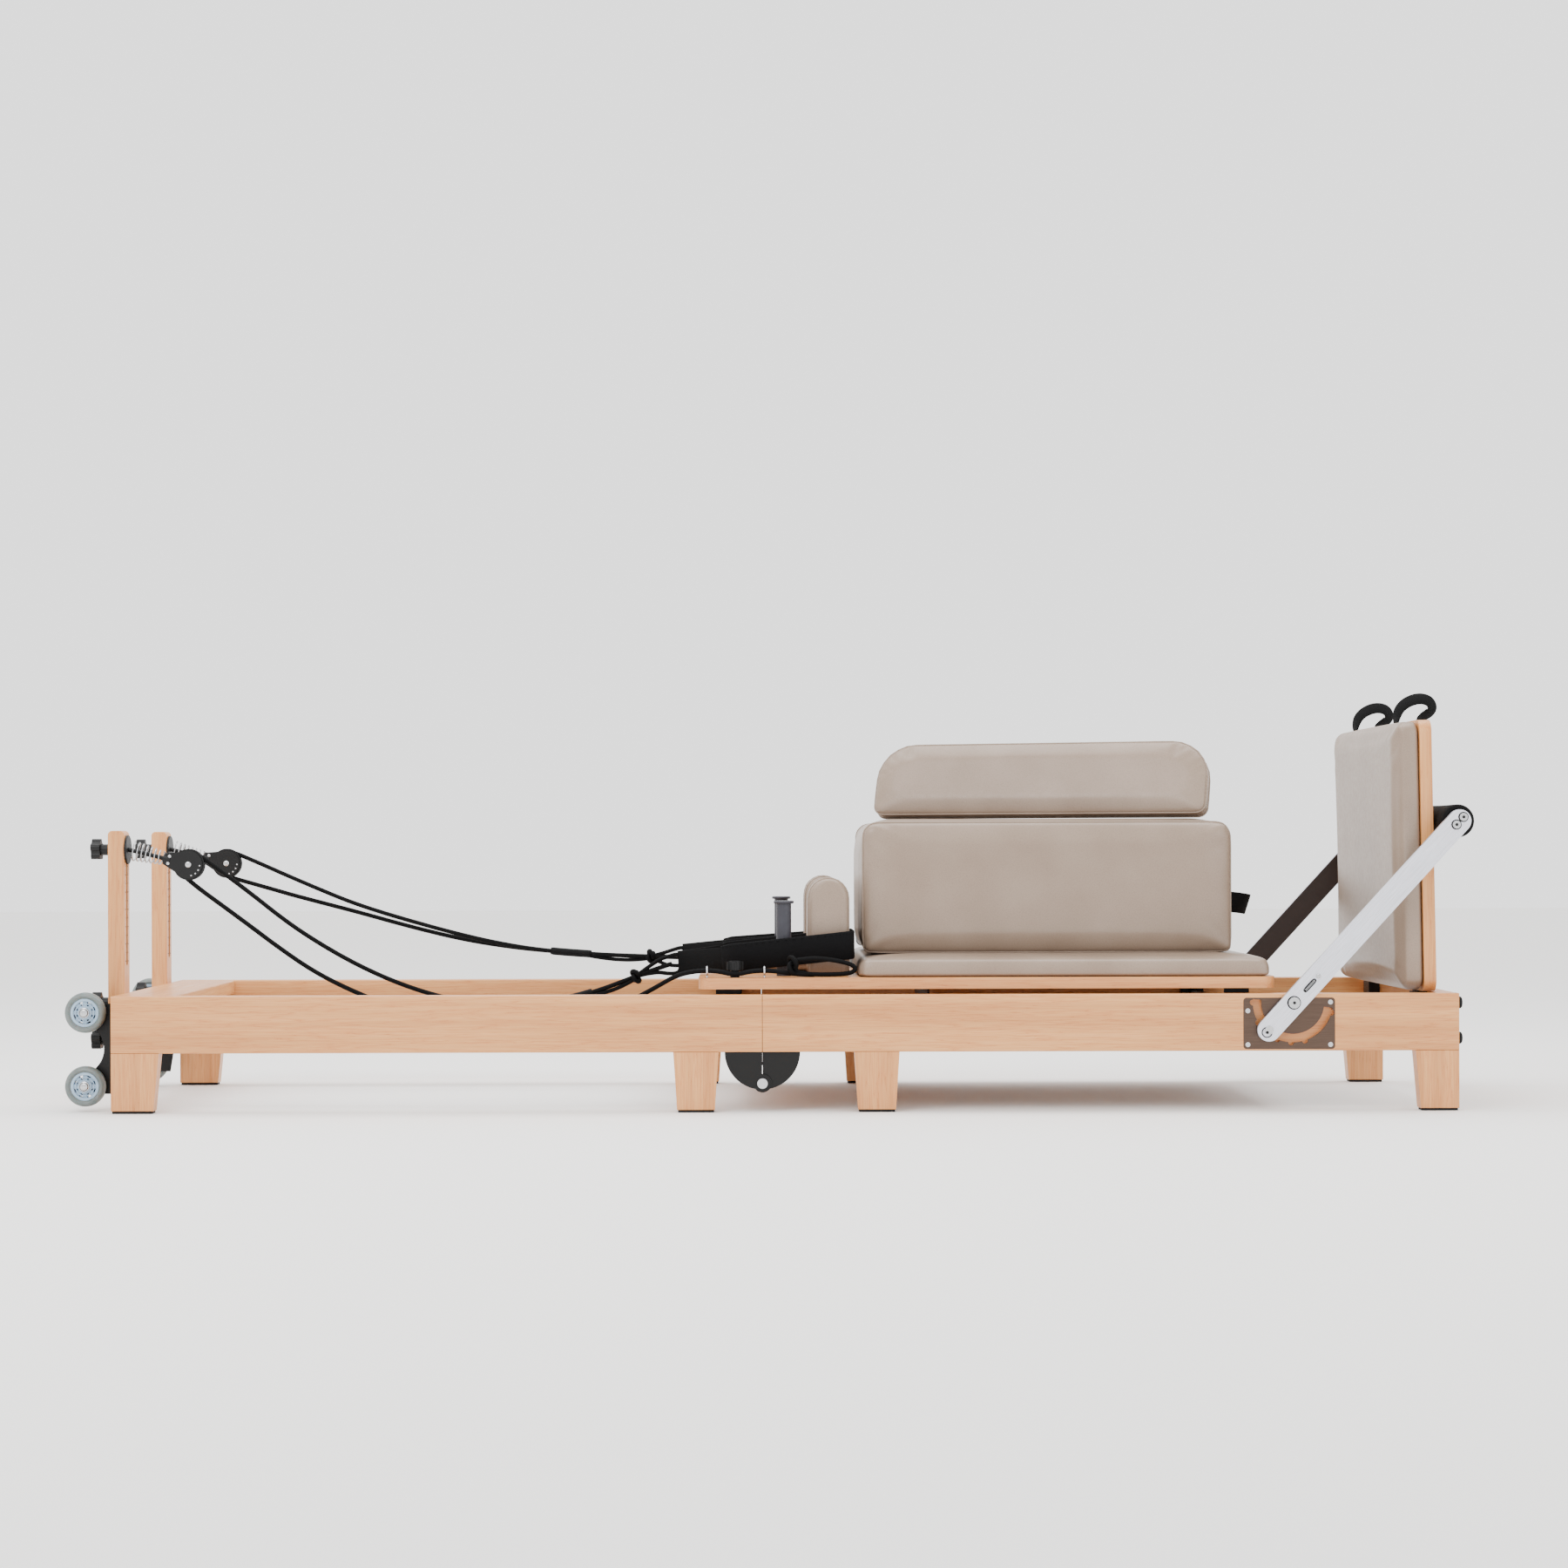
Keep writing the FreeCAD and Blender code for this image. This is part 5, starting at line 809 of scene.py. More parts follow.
class REFORMER_OT_ropes(bpy.types.Operator):
    """Pulling ropes with their sleeves, knots, forked ends and tied tails"""
    bl_idname = "reformer.ropes"
    bl_label = "Pulling Ropes"

    def execute(self, context):
        thick = context.scene.reformer_sizes.rope_diameter
        for side, sign in SIDES.items():
            _, _, _, (sleeve_start, sleeve_end), knot_x = ROPES[side]
            line = smooth_line(rope_route(side))
            cut = next(i for i, p in enumerate(line) if p.x < FOLD_X + RUN_START * MM)
            tail, run = line[:cut + 1][::-1], line[cut:]
            strap_side = [p for p in run[len(run) // 2:] if p.x > FOLD_X + sleeve_start * MM]

            sleeve_line = [p for p in strap_side if p.x < FOLD_X + sleeve_end * MM]
            flattened = [(a * 0.85, b * 1.25) for a, b in round_outline(thick * 0.66, 14)]
            sleeve = sweep("sleeve_" + side, sleeve_line, flattened, across=(0, 1, 0),
                           scales=[0.9] + [1.0] * (len(sleeve_line) - 2) + [0.92])
            # the second strand hangs a rope's thickness under the first, from the sleeve to the knot
            strand = [p for p in strap_side if FOLD_X + (sleeve_end - 12) * MM < p.x < FOLD_X + knot_x * MM]
            strand = [p + Vector((0, 0.002 * sign, -thick * 0.95 * math.sin(math.pi * (0.12 + 0.76 * i / len(strand)))))
                      for i, p in enumerate(strand)]
            second = sweep("second_strand_" + side, strand, round_outline(thick * 0.4, 8))
            tied = min(strap_side, key=lambda p: abs(p.x - FOLD_X - knot_x * MM))
            bow = knot("knot_" + side, tied, (strap_side[-1] - tied).normalized(), 0.0085, thick * 0.85)
            fork_line = [tied] + [at(x, sign * y, z) for x, y, z in FORK] + [tied]
            fork = sweep("strap_fork_" + side, smooth_line(fork_line, steps=8), round_outline(thick * 0.4, 8))
            body = sweep("rope_run_" + side, run, round_outline(thick * 0.46, 10))
            for piece in (sleeve, second, bow, fork, body):
                dress(piece, bpy.data.materials["heat_shrunk_sleeve" if piece == sleeve else "braided_polyester_rope"])
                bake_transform(piece)
            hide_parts("rope_" + side)

            end = sweep("rope_tail_" + side, tail, round_outline(thick * 0.46, 10))
            tail_knot = knot("tail_knot_" + side, at(54, sign * 292, 255), Vector((1, 0, 0)), 0.0115, thick * 0.9)
            bight = smooth_line([at(x, sign * y, z) for x, y, z in BIGHT])
            tail_loop = sweep("tail_loop_" + side, bight, round_outline(thick * 0.44, 10))
            for piece in (end, tail_knot, tail_loop):
                fit(piece, "braided_polyester_rope", "carriage")
        return {"FINISHED"}


class REFORMER_OT_hand_straps(bpy.types.Operator):
    """Hand straps: a webbing loop with a padded part round the peg and the shoulder rest"""
    bl_idname = "reformer.hand_straps"
    bl_label = "Hand Straps"

    def execute(self, context):
        sizes = context.scene.reformer_sizes
        up = Vector((0, 0, 1))
        for side, sign in SIDES.items():
            slope = math.tan(math.radians(STRAP_TILTS[side]))
            line = smooth_line([at(x, sign * y, BOARD_TOP + STRAP_LIFT + (x - STRAP_LEVEL_AT) * slope)
                                for x, y in STRAP], steps=8)
            band = sweep("strap_band_" + side, line, flat_outline(sizes.webbing_height, 0.0026),
                         across=[up] * len(line))
            padded = [p for p in line if p.x > FOLD_X + STRAP_PAD_FROM * MM]
            last = len(padded) - 1
            ends = min(4, len(padded) // 4)
            puff = [0.9 + 0.1 * min(i, last - i, ends) / ends for i in range(len(padded))]
            pad = sweep("strap_pad_" + side, padded, flat_outline(sizes.strap_pad_height, 0.0046),
                        across=[up] * len(padded), scales=puff)
            seams = []
            for level in (-0.42, 0.42):
                height = up * (sizes.strap_pad_height * level)
                for start, end in list(zip(padded, padded[1:]))[:-1:2]:
                    outward = (end - start).cross(up).normalized() * 0.00235
                    for face in (1, -1):
                        stitch = [start + (end - start) * t + height + outward * face for t in (0.1, 0.5, 0.9)]
                        seams.append(sweep("stitch", stitch, round_outline(0.0005, 5)))
            seam = joined("strap_stitches_" + side, seams)
            for piece, finish in ((band, "woven_polyester_webbing"), (pad, "padded_neoprene_strap"),
                                  (seam, "braided_polyester_rope")):
                fit(piece, finish, "carriage", "hand_straps")
        return {"FINISHED"}


# ---------------------------------------------------------------- upholstery

def cushion_block(name, low, high, outline_axis, corners, rim, rim_faces=(True, True)):
    """A block whose edges along outline_axis are rounded by the corner radii, tested by place, and whose two
    outline faces then get a soft rim."""
    piece = block(name, low, high)
    edit()
    for test, radius in corners:
        bevel(lambda e, test=test: along(e, outline_axis) and test(middle(e)), radius, 8)
    for end, wanted in zip((low[outline_axis], high[outline_axis]), rim_faces):
        if wanted:
            bevel(lambda e, end=end: all(abs(v.co[outline_axis] - end) < 1e-5 for v in e.verts), rim, 4)
    leave()
    return piece


def upholster(piece, node, body, finish="calendered_vinyl"):
    """Gives a padded piece its finish and body, and hides the CAD solid that it stands for."""
    return fit(piece, finish, body, node)


# one sewn stitch, and from the start of one to the start of the next
STITCH, STITCH_STEP = 0.005, 0.0075


def stitch_row(name, points, body, on):
    """A row of sewn stitches over a piece's surface, each a short raised thread."""
    points = settle_on(on, points, 0.0002)
    threads, walked = [], 0.0
    for before, after in zip(points, points[1:] + points[:1]):
        run = after - before
        while walked < run.length:
            a = before + run * (walked / run.length)
            b = before + run * min(1.0, (walked + STITCH) / run.length)
            if (b - a).length > 0.4 * STITCH:
                threads.append(sweep("thread", [a, (a + b) / 2, b], round_outline(0.00045, 4)))
            walked += STITCH_STEP
        walked -= run.length
    return fit(joined(name, threads), "calendered_vinyl_shaded", body)


class REFORMER_OT_carriage_pad(bpy.types.Operator):
    """The carriage's pad: thick foam with a soft rounded rim, under vinyl stapled round the board"""
    bl_idname = "reformer.carriage_pad"
    bl_label = "Carriage Pad"

    def execute(self, context):
        low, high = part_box("carriage_pad")
        crown = 0.003
        low, high = low + Vector((crown, crown, 0)), high - Vector((crown, crown, crown))
        pad = cushion_block("carriage_pad_cover", low, high, 2, [(lambda m: True, 0.022)], 0.020, (False, True))
        swell(pad, crown, held=lambda c: c.z < low.z + 0.004, voxel=0.0085)
        upholster(pad, "carriage_pad", "carriage")
        return {"FINISHED"}


class REFORMER_OT_shoulder_rests(bpy.types.Operator):
    """Shoulder rests with arched tops, sewn round both faces"""
    bl_idname = "reformer.shoulder_rests"
    bl_label = "Shoulder Rests"

    def execute(self, context):
        low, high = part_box("shoulder_rests")
        high = Vector((high.x, -0.100, high.z))
        crown = 0.004
        low, high = low + Vector((crown, crown, 0)), high - Vector((crown, crown, crown))
        near = cushion_block("shoulder_rest_near", low, high, 1, [(lambda m: m.z > 0.35, 0.0355)], 0.009)
        faces = (low.y + 0.010, high.y - 0.010)
        swell(near, crown, held=lambda c: c.z < low.z + 0.006 or min(abs(c.y - f) for f in faces) < 0.0035,
              voxel=0.005, pressure=5.0)
        half = (high.x - low.x) / 2
        arch = [(low.x, low.z + 0.004)] + [
            ((low.x + high.x) / 2 + half * math.cos(math.radians(a)), high.z - half + half * math.sin(math.radians(a)))
            for a in range(180, -1, -15)] + [(high.x, low.z + 0.004)]
        full = []
        for (a, b), (c, d) in zip(arch, arch[1:]):
            parts = max(1, round(math.hypot(c - a, d - b) / 0.012))
            full += [(a + (c - a) * i / parts, b + (d - b) * i / parts) for i in range(parts)]
        full.append(arch[-1])
        far = mirror_y(near, "shoulder_rest_far")
        for side, rest, sign in (("near", near, 1), ("far", far, -1)):
            for label, y in zip(("outer", "inner"), faces):
                line = settle_on(rest, [Vector((x, y * sign, z)) for x, z in full], 0.0004)
                pipe = sweep("shoulder_seam_" + label + "_" + side, line, round_outline(0.0016, 8))
                fit(pipe, "calendered_vinyl", "carriage")
            upholster(rest, "shoulder_rests", "carriage")
        return {"FINISHED"}


class REFORMER_OT_headrest(bpy.types.Operator):
    """The padded headrest and its steel hinge"""
    bl_idname = "reformer.headrest"
    bl_label = "Headrest"

    def execute(self, context):
        low, high = at(-40, -88, 237), at(138, 88, 267)
        crown = 0.005
        low, high = low + Vector((crown, crown, 0.001)), high - Vector((crown, crown, crown))
        pad = cushion_block("headrest_cover", low, high, 2, [(lambda m: True, 0.014)], 0.009, (False, True))
        swell(pad, crown, held=lambda c: c.z < low.z + 0.004 or abs(c.z - low.z - 0.013) < 0.0025, voxel=0.005)
        upholster(pad, "headrest", "headrest")
        seam = [Vector((x, y, low.z + 0.013)) for x, y in rounded_rectangle(
            (low.x, low.y), (high.x, high.y), [0.014] * 4)]
        piping("headrest_piping", seam, "headrest", on=pad)
        hinge = at(143, 0, 238.5)
        barrel = turned("headrest_barrel", two_ended([(0.0018, -0.068), (0.0038, -0.068), (0.004, -0.0675)]), hinge, 20)
        leaf = block("headrest_leaf", hinge + Vector((-0.03, -0.066, -0.0024)), hinge + Vector((0, 0.066, -0.0009)))
        edit()
        bevel(lambda e: along(e, 2) and middle(e).x < hinge.x - 0.02, 0.008, 4)
        leave()
        fit(joined("headrest_hinge", [barrel, leaf]), "powder_coated_steel", "headrest")
        return {"FINISHED"}


class REFORMER_OT_long_box(bpy.types.Operator):
    """The long box: two piped side panels, a soft gusset between them, and a webbing handle"""
    bl_idname = "reformer.long_box"
    bl_label = "Long Box"

    def execute(self, context):
        low, high = at(179, -200, 273), at(846, 200, 510)
        crown = context.scene.reformer_sizes.pad_crown
        low, high = low + Vector((0.0025, crown - 0.001, 0)), high - Vector((0.0025, crown - 0.001, 0.002))
        box = cushion_block("long_box_cover", low, high, 1,
                            [(lambda m: m.z > 0.4, 0.026), (lambda m: m.z < 0.4, 0.008)], 0.013)
        seams = (low.y + 0.0145, high.y - 0.0145)
        swell(box, crown, held=lambda c: c.z < low.z + 0.004 or min(abs(c.y - s) for s in seams) < 0.005,
              pressure=3.0, voxel=0.0085)
        upholster(box, "long_box", "long_box")
        for side, y in zip(SIDES, seams):
            edge = rounded_rectangle((low.x, low.z), (high.x, high.z), (0.008, 0.008, 0.026, 0.026))
            piping("box_piping_" + side, [Vector((x, y, z)) for x, z in edge], "long_box", on=box)
            row = [Vector((x, y + (0.006 if y < 0 else -0.006), z)) for x, z in edge]
            stitch_row("box_stitches_" + side, row, "long_box", on=box)
        hang = [(845, -56, 361), (852, -56, 361), (868, -52, 360), (884, -43, 358), (896, -28, 356), (902, -12, 355),
                (903, 4, 355), (900, 20, 356), (892, 35, 357), (878, 47, 358), (862, 54, 360), (845, 56, 361)]
        strap = sweep("box_handle", smooth_line([at(*p) for p in hang], steps=6), flat_outline(0.038, 0.0028),
                      across=Vector((0.30, 0.0, 0.95)))
        fit(strap, "woven_polyester_webbing", "long_box")
        return {"FINISHED"}


class REFORMER_OT_lumbar_cushion(bpy.types.Operator):
    """The lumbar cushion with its two large top corners, leaning back on the box"""
    bl_idname = "reformer.lumbar_cushion"
    bl_label = "Lumbar Cushion"

    def execute(self, context):
        crown = 0.005
        low = Vector((-0.320 + crown, -0.050 + crown, 0.001))
        high = Vector((0.320 - crown, -crown, 0.146 - crown))
        piece = cushion_block("lumbar_cushion_cover", low, high, 1,
                              [(lambda m: m.z > 0.07, 0.070), (lambda m: m.z < 0.07, 0.017)], 0.008)
        seams = (low.y + 0.0085, high.y - 0.0085)
        swell(piece, crown, held=lambda c: min(abs(c.y - s) for s in seams) < 0.0035)
        lie = (Matrix.Translation(at(520, 0, 510.3)) @ Matrix.Rotation(math.radians(-20), 4, "Z")
               @ Matrix.Rotation(math.radians(-20), 4, "X"))
        edge = rounded_rectangle((low.x, low.z), (high.x, high.z), (0.017, 0.017, 0.070, 0.070))
        lines = [settle_on(piece, [Vector((x, y, z)) for x, z in edge], 0.0006) for y in seams]
        piece.data.transform(lie)
        upholster(piece, "lumbar_cushion", "lumbar_cushion")
        for side, line in zip(SIDES, lines):
            piping("cushion_piping_" + side, [lie @ point for point in line], "lumbar_cushion")
        return {"FINISHED"}


class REFORMER_OT_jump_pad(bpy.types.Operator):
    """The jumpboard's foot pad and the two webbing loops over its top edge"""
    bl_idname = "reformer.jump_pad"
    bl_label = "Jump Pad"

    def execute(self, context):
        lean = (Matrix.Translation(at(1189, 0, 206)) @ Matrix.Rotation(math.radians(-1.0), 4, "Y")
                @ Matrix.Translation(-at(1189, 0, 206)))
        crown = 0.004
        low = at(1124, -289, 208) + Vector((crown, 0.002, 0.001))
        high = at(1168, 289, 684) - Vector((0, 0.002, 0.001))
        pad = cushion_block("jump_pad_cover", low, high, 0, [(lambda m: True, 0.020)], 0.012, (True, False))
        seam_x = low.x + 0.013
        swell(pad, crown, held=lambda c: c.x > high.x - 0.004 or abs(c.x - seam_x) < 0.003, voxel=0.0075)
        pad.data.transform(lean)
        upholster(pad, "jumpboard_pad", "jumpboard")
        for name, y in (("near", -180), ("far", 180)):
            # a flat webbing loop that flops over to the foot side, twisted once between its screwed ends
            arch = [(1151, 0, 684), (1151, 0, 694), (1156, -4, 710), (1170, -8, 722), (1190, -10, 728),
                    (1209, -8, 724), (1217, -3, 711), (1210, 2, 700), (1196, 3, 694), (1188, 1, 690), (1187, 0, 685)]
            line = smooth_line([at(a, b + y, c) for a, b, c in arch], steps=8)
            twist = []
            for i in range(len(line)):
                ahead = line[min(i + 1, len(line) - 1)] - line[max(i - 1, 0)]
                flat = Vector((0, 1, 0))
                tilted = ahead.normalized().cross(flat)
                turn = math.radians(52) * math.sin(math.pi * i / (len(line) - 1)) ** 0.7
                twist.append(flat * math.cos(turn) + tilted * math.sin(turn))
            loop = sweep("jump_loop_" + name, line, flat_outline(0.026, 0.0026), across=twist)
            loop.data.transform(lean)
            fit(loop, "woven_polyester_webbing", "jumpboard", "jumpboard_loops")
        return {"FINISHED"}


# ---------------------------------------------------------------- turned and wound parts

def turned(name, profile, centre, steps=48):
    """A piece turned about the Y axis through centre, from its half section: (radius, place along Y) pairs."""
    piece = begin(name, bpy.ops.mesh.primitive_circle_add, vertices=len(profile), radius=0.01,
                  fill_type="NOTHING", location=(0, 0, 0))
    for vertex, (radius, place) in zip(piece.data.vertices, profile):
        vertex.co = centre + Vector((radius, place, 0))
    edit()
    bpy.ops.mesh.select_all(action="SELECT")
    bpy.ops.mesh.spin(steps=steps, angle=math.tau, center=centre, axis=(0, 1, 0))
    bpy.ops.mesh.select_all(action="SELECT")
    bpy.ops.mesh.remove_doubles(threshold=0.00002)
    bpy.ops.mesh.normals_make_consistent(inside=False)
    leave()
    return smooth(piece)


def two_ended(half, middle=()):
    """A whole profile from the half on the near side, with what lies between it and its mirror image."""
    return half + list(middle) + [(radius, -place) for radius, place in reversed(half)]


def squeeze(vertex, factor):
    """Draws a vertex towards the X axis."""
    vertex.co.y *= factor
    vertex.co.z *= factor


def coil(name, radius, wire, pitch, turns, sides=6, steps=14):
    """A spring wound along X from the origin, with closed ends."""
    piece = begin(name, bpy.ops.mesh.primitive_circle_add, vertices=sides, radius=wire / 2, fill_type="NOTHING",
                  location=(0, 0, radius), rotation=(math.radians(90), 0, 0))
    apply(piece, "SCREW", axis="X", screw_offset=pitch, angle=math.tau, iterations=turns, steps=steps,
          render_steps=steps, use_normal_calculate=True, use_smooth_shade=True)
    edit()
    bpy.ops.mesh.select_mode(type="EDGE")
    bpy.ops.mesh.select_all(action="DESELECT")
    bpy.ops.mesh.select_non_manifold()
    bpy.ops.mesh.edge_face_add()
    bpy.ops.mesh.select_all(action="SELECT")
    bpy.ops.mesh.normals_make_consistent(inside=False)
    leave()
    return piece


class REFORMER_OT_footbar_grip(bpy.types.Operator):
    """The footbar's foam grip, rounded at its ends where it meets the arms"""
    bl_idname = "reformer.footbar_grip"
    bl_label = "Footbar Grip"

    def execute(self, context):
        low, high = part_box("footbar_grip")
        centre = (low + high) / 2
        radius, half = (high.z - low.z) / 2, (high.y - low.y) / 2
        end = [(0.0130, -half + 0.004), (0.020, -half + 0.0008), (radius - 0.006, -half),
               (radius - 0.0018, -half + 0.0018), (radius, -half + 0.006)]
        # the foam stands a little proud between hand positions
        waves = [(radius - 0.0006 * (1 - math.cos(math.tau * 3 * i / 24)) / 2,
                  -half + 0.006 + (2 * half - 0.012) * i / 24) for i in range(1, 24)]
        grip = turned("footbar_foam_grip", two_ended(end, waves), centre, 40)
        upholster(grip, "footbar_grip", "footbar", finish="skinned_closed_cell_foam")
        return {"FINISHED"}


class REFORMER_OT_springs(bpy.types.Operator):
    """Five carriage springs, and the two cone springs that hold the pulleys up"""
    bl_idname = "reformer.springs"
    bl_label = "Springs"

    def execute(self, context):
        sizes = context.scene.reformer_sizes
        low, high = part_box("carriage_springs")
        radius = (high.z - low.z) / 2 - sizes.spring_wire / 2
        turns = int((high.x - low.x - sizes.spring_wire) / sizes.spring_pitch)
        first = coil("carriage_spring", radius, sizes.spring_wire, sizes.spring_pitch, turns)
        span = turns * sizes.spring_pitch
        for vertex in first.data.vertices:
            # the last turns at each end close in towards their hook
            near_end = min(vertex.co.x, span - vertex.co.x)
            if near_end < 0.018:
                squeeze(vertex, 0.35 + 0.65 * max(0.0, near_end) / 0.018)
        middle_z = (low.z + high.z) / 2
        for index, y in enumerate((-0.180, -0.090, 0.0, 0.090, 0.180)):
            spring = copied(first, "carriage_spring_%d" % (index + 1),
                            Matrix.Translation(((low.x + high.x - span) / 2, y, middle_z)))
            dress(spring, bpy.data.materials["drawn_spring_wire"])
            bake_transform(spring)
            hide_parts("carriage_springs")
        bpy.data.objects.remove(first)
        base, tip, height = 0.0175, 0.0112, 0.0583
        cone = coil("cone_spring", 1.0, 0.0026, 0.0078, 7, steps=20)
        for vertex in cone.data.vertices:
            away = math.hypot(vertex.co.y, vertex.co.z)
            squeeze(vertex, (base + (tip - base) * vertex.co.x / height + (away - 1.0)) / away)
        for side, sign in SIDES.items():
            foot, axle = at(PULLEY_EYE_X, PULLEY_Y * sign, PULLEY_EYE_Z), at(-1028, PULLEY_Y * sign, 435)
            aim = Vector((1, 0, 0)).rotation_difference(axle - foot).to_matrix().to_4x4()
            start = foot + (axle - foot).normalized() * 0.0085
            spring = copied(cone, "stand_up_spring_" + side, Matrix.Translation(start) @ aim)
            fit(spring, "drawn_spring_wire", "head_frame", "stand_up_springs")
        bpy.data.objects.remove(cone)
        return {"FINISHED"}


class REFORMER_OT_skate_wheels(bpy.types.Operator):
    """Four skate wheels: a cast tyre on a spoked hub with its steel bearing"""
    bl_idname = "reformer.skate_wheels"
    bl_label = "Skate Wheels"

    def execute(self, context):
        origin = Vector((0, 0, 0))
        tyre = turned("tyre", two_ended([
            (0.0250, -0.0085), (0.0262, -0.0098), (0.0290, -0.0118), (0.0315, -0.0113), (0.0340, -0.0090),
            (0.0355, -0.0055)], [(0.0360, 0.0)]), origin, 56)
        rim = turned("rim", two_ended([(0.0200, -0.0080), (0.0208, -0.0088), (0.0244, -0.0088), (0.0250, -0.0082)]),
                     origin, 48)
        boss = turned("boss", two_ended([(0.0085, -0.0086), (0.0090, -0.0090), (0.0118, -0.0090), (0.0124, -0.0084)]),
                      origin, 40)
        bearing = turned("bearing", two_ended([
            (0.0042, -0.0070), (0.0050, -0.0078), (0.0062, -0.0078), (0.0064, -0.0070), (0.0070, -0.0070),
            (0.0072, -0.0078), (0.0084, -0.0078), (0.0085, -0.0074)]), origin, 32)
        spoke = block("spoke", (-0.0042, -0.0062, 0.0115), (0.0042, 0.0062, 0.0212))
        edit()
        bevel(lambda e: along(e, 2), 0.0018, 3)
        pick("FACE", lambda f: abs(f.normal.y) > 0.9)
        bpy.ops.mesh.inset(thickness=0.0015, depth=-0.0008, use_individual=True)
        leave()
        spokes = [spoke] + [copied(spoke, "spoke", Matrix.Rotation(math.radians(45 * i), 4, "Y")) for i in range(1, 8)]
        ribs = turned("ribs", two_ended([(0.0155, -0.0070), (0.0172, -0.0070)]), origin, 40)
        hub = smooth(joined("hub", [rim, boss, ribs, *spokes]))
        finishes = (("tyre", tyre, "cast_polyurethane_tyre"), ("hub", hub, "moulded_nylon_hub"),
                    ("bearing", bearing, "nickel_plated_steel"))
        dome = turned("dome", [(0.0, 0.0), (0.0090, 0.0), (0.0090, 0.0006), (0.0078, 0.0012), (0.0076, 0.0030),
                               (0.0060, 0.0042), (0.0030, 0.0048), (0.0, 0.0050)], origin, 32)
        for side, sign in SIDES.items():
            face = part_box("skate_wheel_%s_low" % side)[sign > 0].y + sign * 0.0002
            caps = []
            for level in ("low", "high"):
                body = "wheel_%s_%s" % (side, level)
                centre = Vector(JOINTS[body + "_spin"]["pos_m"])
                for label, part, finish in finishes:
                    piece = copied(part, "skate_%s_%s_%s" % (label, side, level), Matrix.Translation(centre))
                    fit(piece, finish, body, "skate_" + body)
                caps.append(copied(dome, "cap", Matrix.Translation((centre.x, face, centre.z))
                                   @ Matrix.Scale(sign, 4, (0, 1, 0))))
            fit(joined("wheel_bolt_caps_" + side, caps), "nickel_plated_steel", "head_frame")
        for _, part, _ in finishes:
            bpy.data.objects.remove(part)
        bpy.data.objects.remove(dome)
        return {"FINISHED"}


class REFORMER_OT_cleats(bpy.types.Operator):
    """Rope cleats with ribbed heads, and the steel eyes that the rope runs through"""
    bl_idname = "reformer.cleats"
    bl_label = "Cleats And Eyes"

    def execute(self, context):
        centre = at(-48, -286, 247)
        head = begin("head", bpy.ops.mesh.primitive_cylinder_add, vertices=48, radius=0.0138, depth=0.015,
                     location=centre + Vector((0, 0, 0.0075)))
        edit()
        pick("FACE", lambda f: abs(f.normal.z) < 0.1
             and round(math.degrees(math.atan2(f.normal.y, f.normal.x)) / 7.5 - 0.5) % 2 == 0)
        bpy.ops.mesh.inset(thickness=0.0003, depth=0.0011, use_individual=True)
        pick("FACE", lambda f: f.normal.z > 0.9)
        bpy.ops.mesh.inset(thickness=0.0022, depth=0.0)
        bpy.ops.mesh.inset(thickness=0.0030, depth=-0.0014)
        bevel(lambda e: all(v.co.z > centre.z + 0.0149 and (v.co - centre).xy.length > 0.0137 for v in e.verts),
              0.0008, 2)
        leave()
        stem = begin("stem", bpy.ops.mesh.primitive_cylinder_add, vertices=32, radius=0.008, depth=0.0128,
                     location=centre - Vector((0, 0, 0.0064)))
        edit()
        pick("FACE", lambda f: f.normal.z < -0.9)
        bpy.ops.mesh.extrude_region_move(TRANSFORM_OT_translate={"value": (0, 0, -0.0001)})
        bpy.ops.transform.resize(value=(1.55, 1.55, 1.0), center_override=centre - Vector((0, 0, 0.0129)))
        leave()
        cleat = smooth(joined("cleat_near", [head, stem]), 40)
        eyes = []
        for x in (-97, 4):
            ring = begin("ring", bpy.ops.mesh.primitive_torus_add, major_segments=28, minor_segments=10,
                         major_radius=0.007, minor_radius=0.0018, location=at(x, -300, 246.2),
                         rotation=(0, math.radians(90), 0))
            shank = begin("shank", bpy.ops.mesh.primitive_cylinder_add, vertices=12, radius=0.0018, depth=0.0052,
                          location=at(x, -300, 236.8))
            edit()
            pick("FACE", lambda f: f.normal.z < -0.9)
            bpy.ops.mesh.inset(thickness=0.0, depth=0.0)
            bpy.ops.transform.resize(value=(2.4, 2.4, 1.0), center_override=at(x, -300, 234.2))
            leave()
            eyes += [ring, shank]
        eye = smooth(joined("rope_eyes_near", eyes), 60)
        for part, finish, slot in ((cleat, "moulded_nylon_black", "plastic_black"),
                                   (eye, "nickel_plated_steel", "steel_chrome")):
            twin = mirror_y(part, part.name.replace("near", "far"))
            for piece in (part, twin):
                fit(piece, finish, "carriage", "rope_cleats")
        return {"FINISHED"}


# the riser's scale: its lowest tick above the floor, and the way from tick to tick
SCALE_FOOT, SCALE_STEP = 0.262, 0.0155


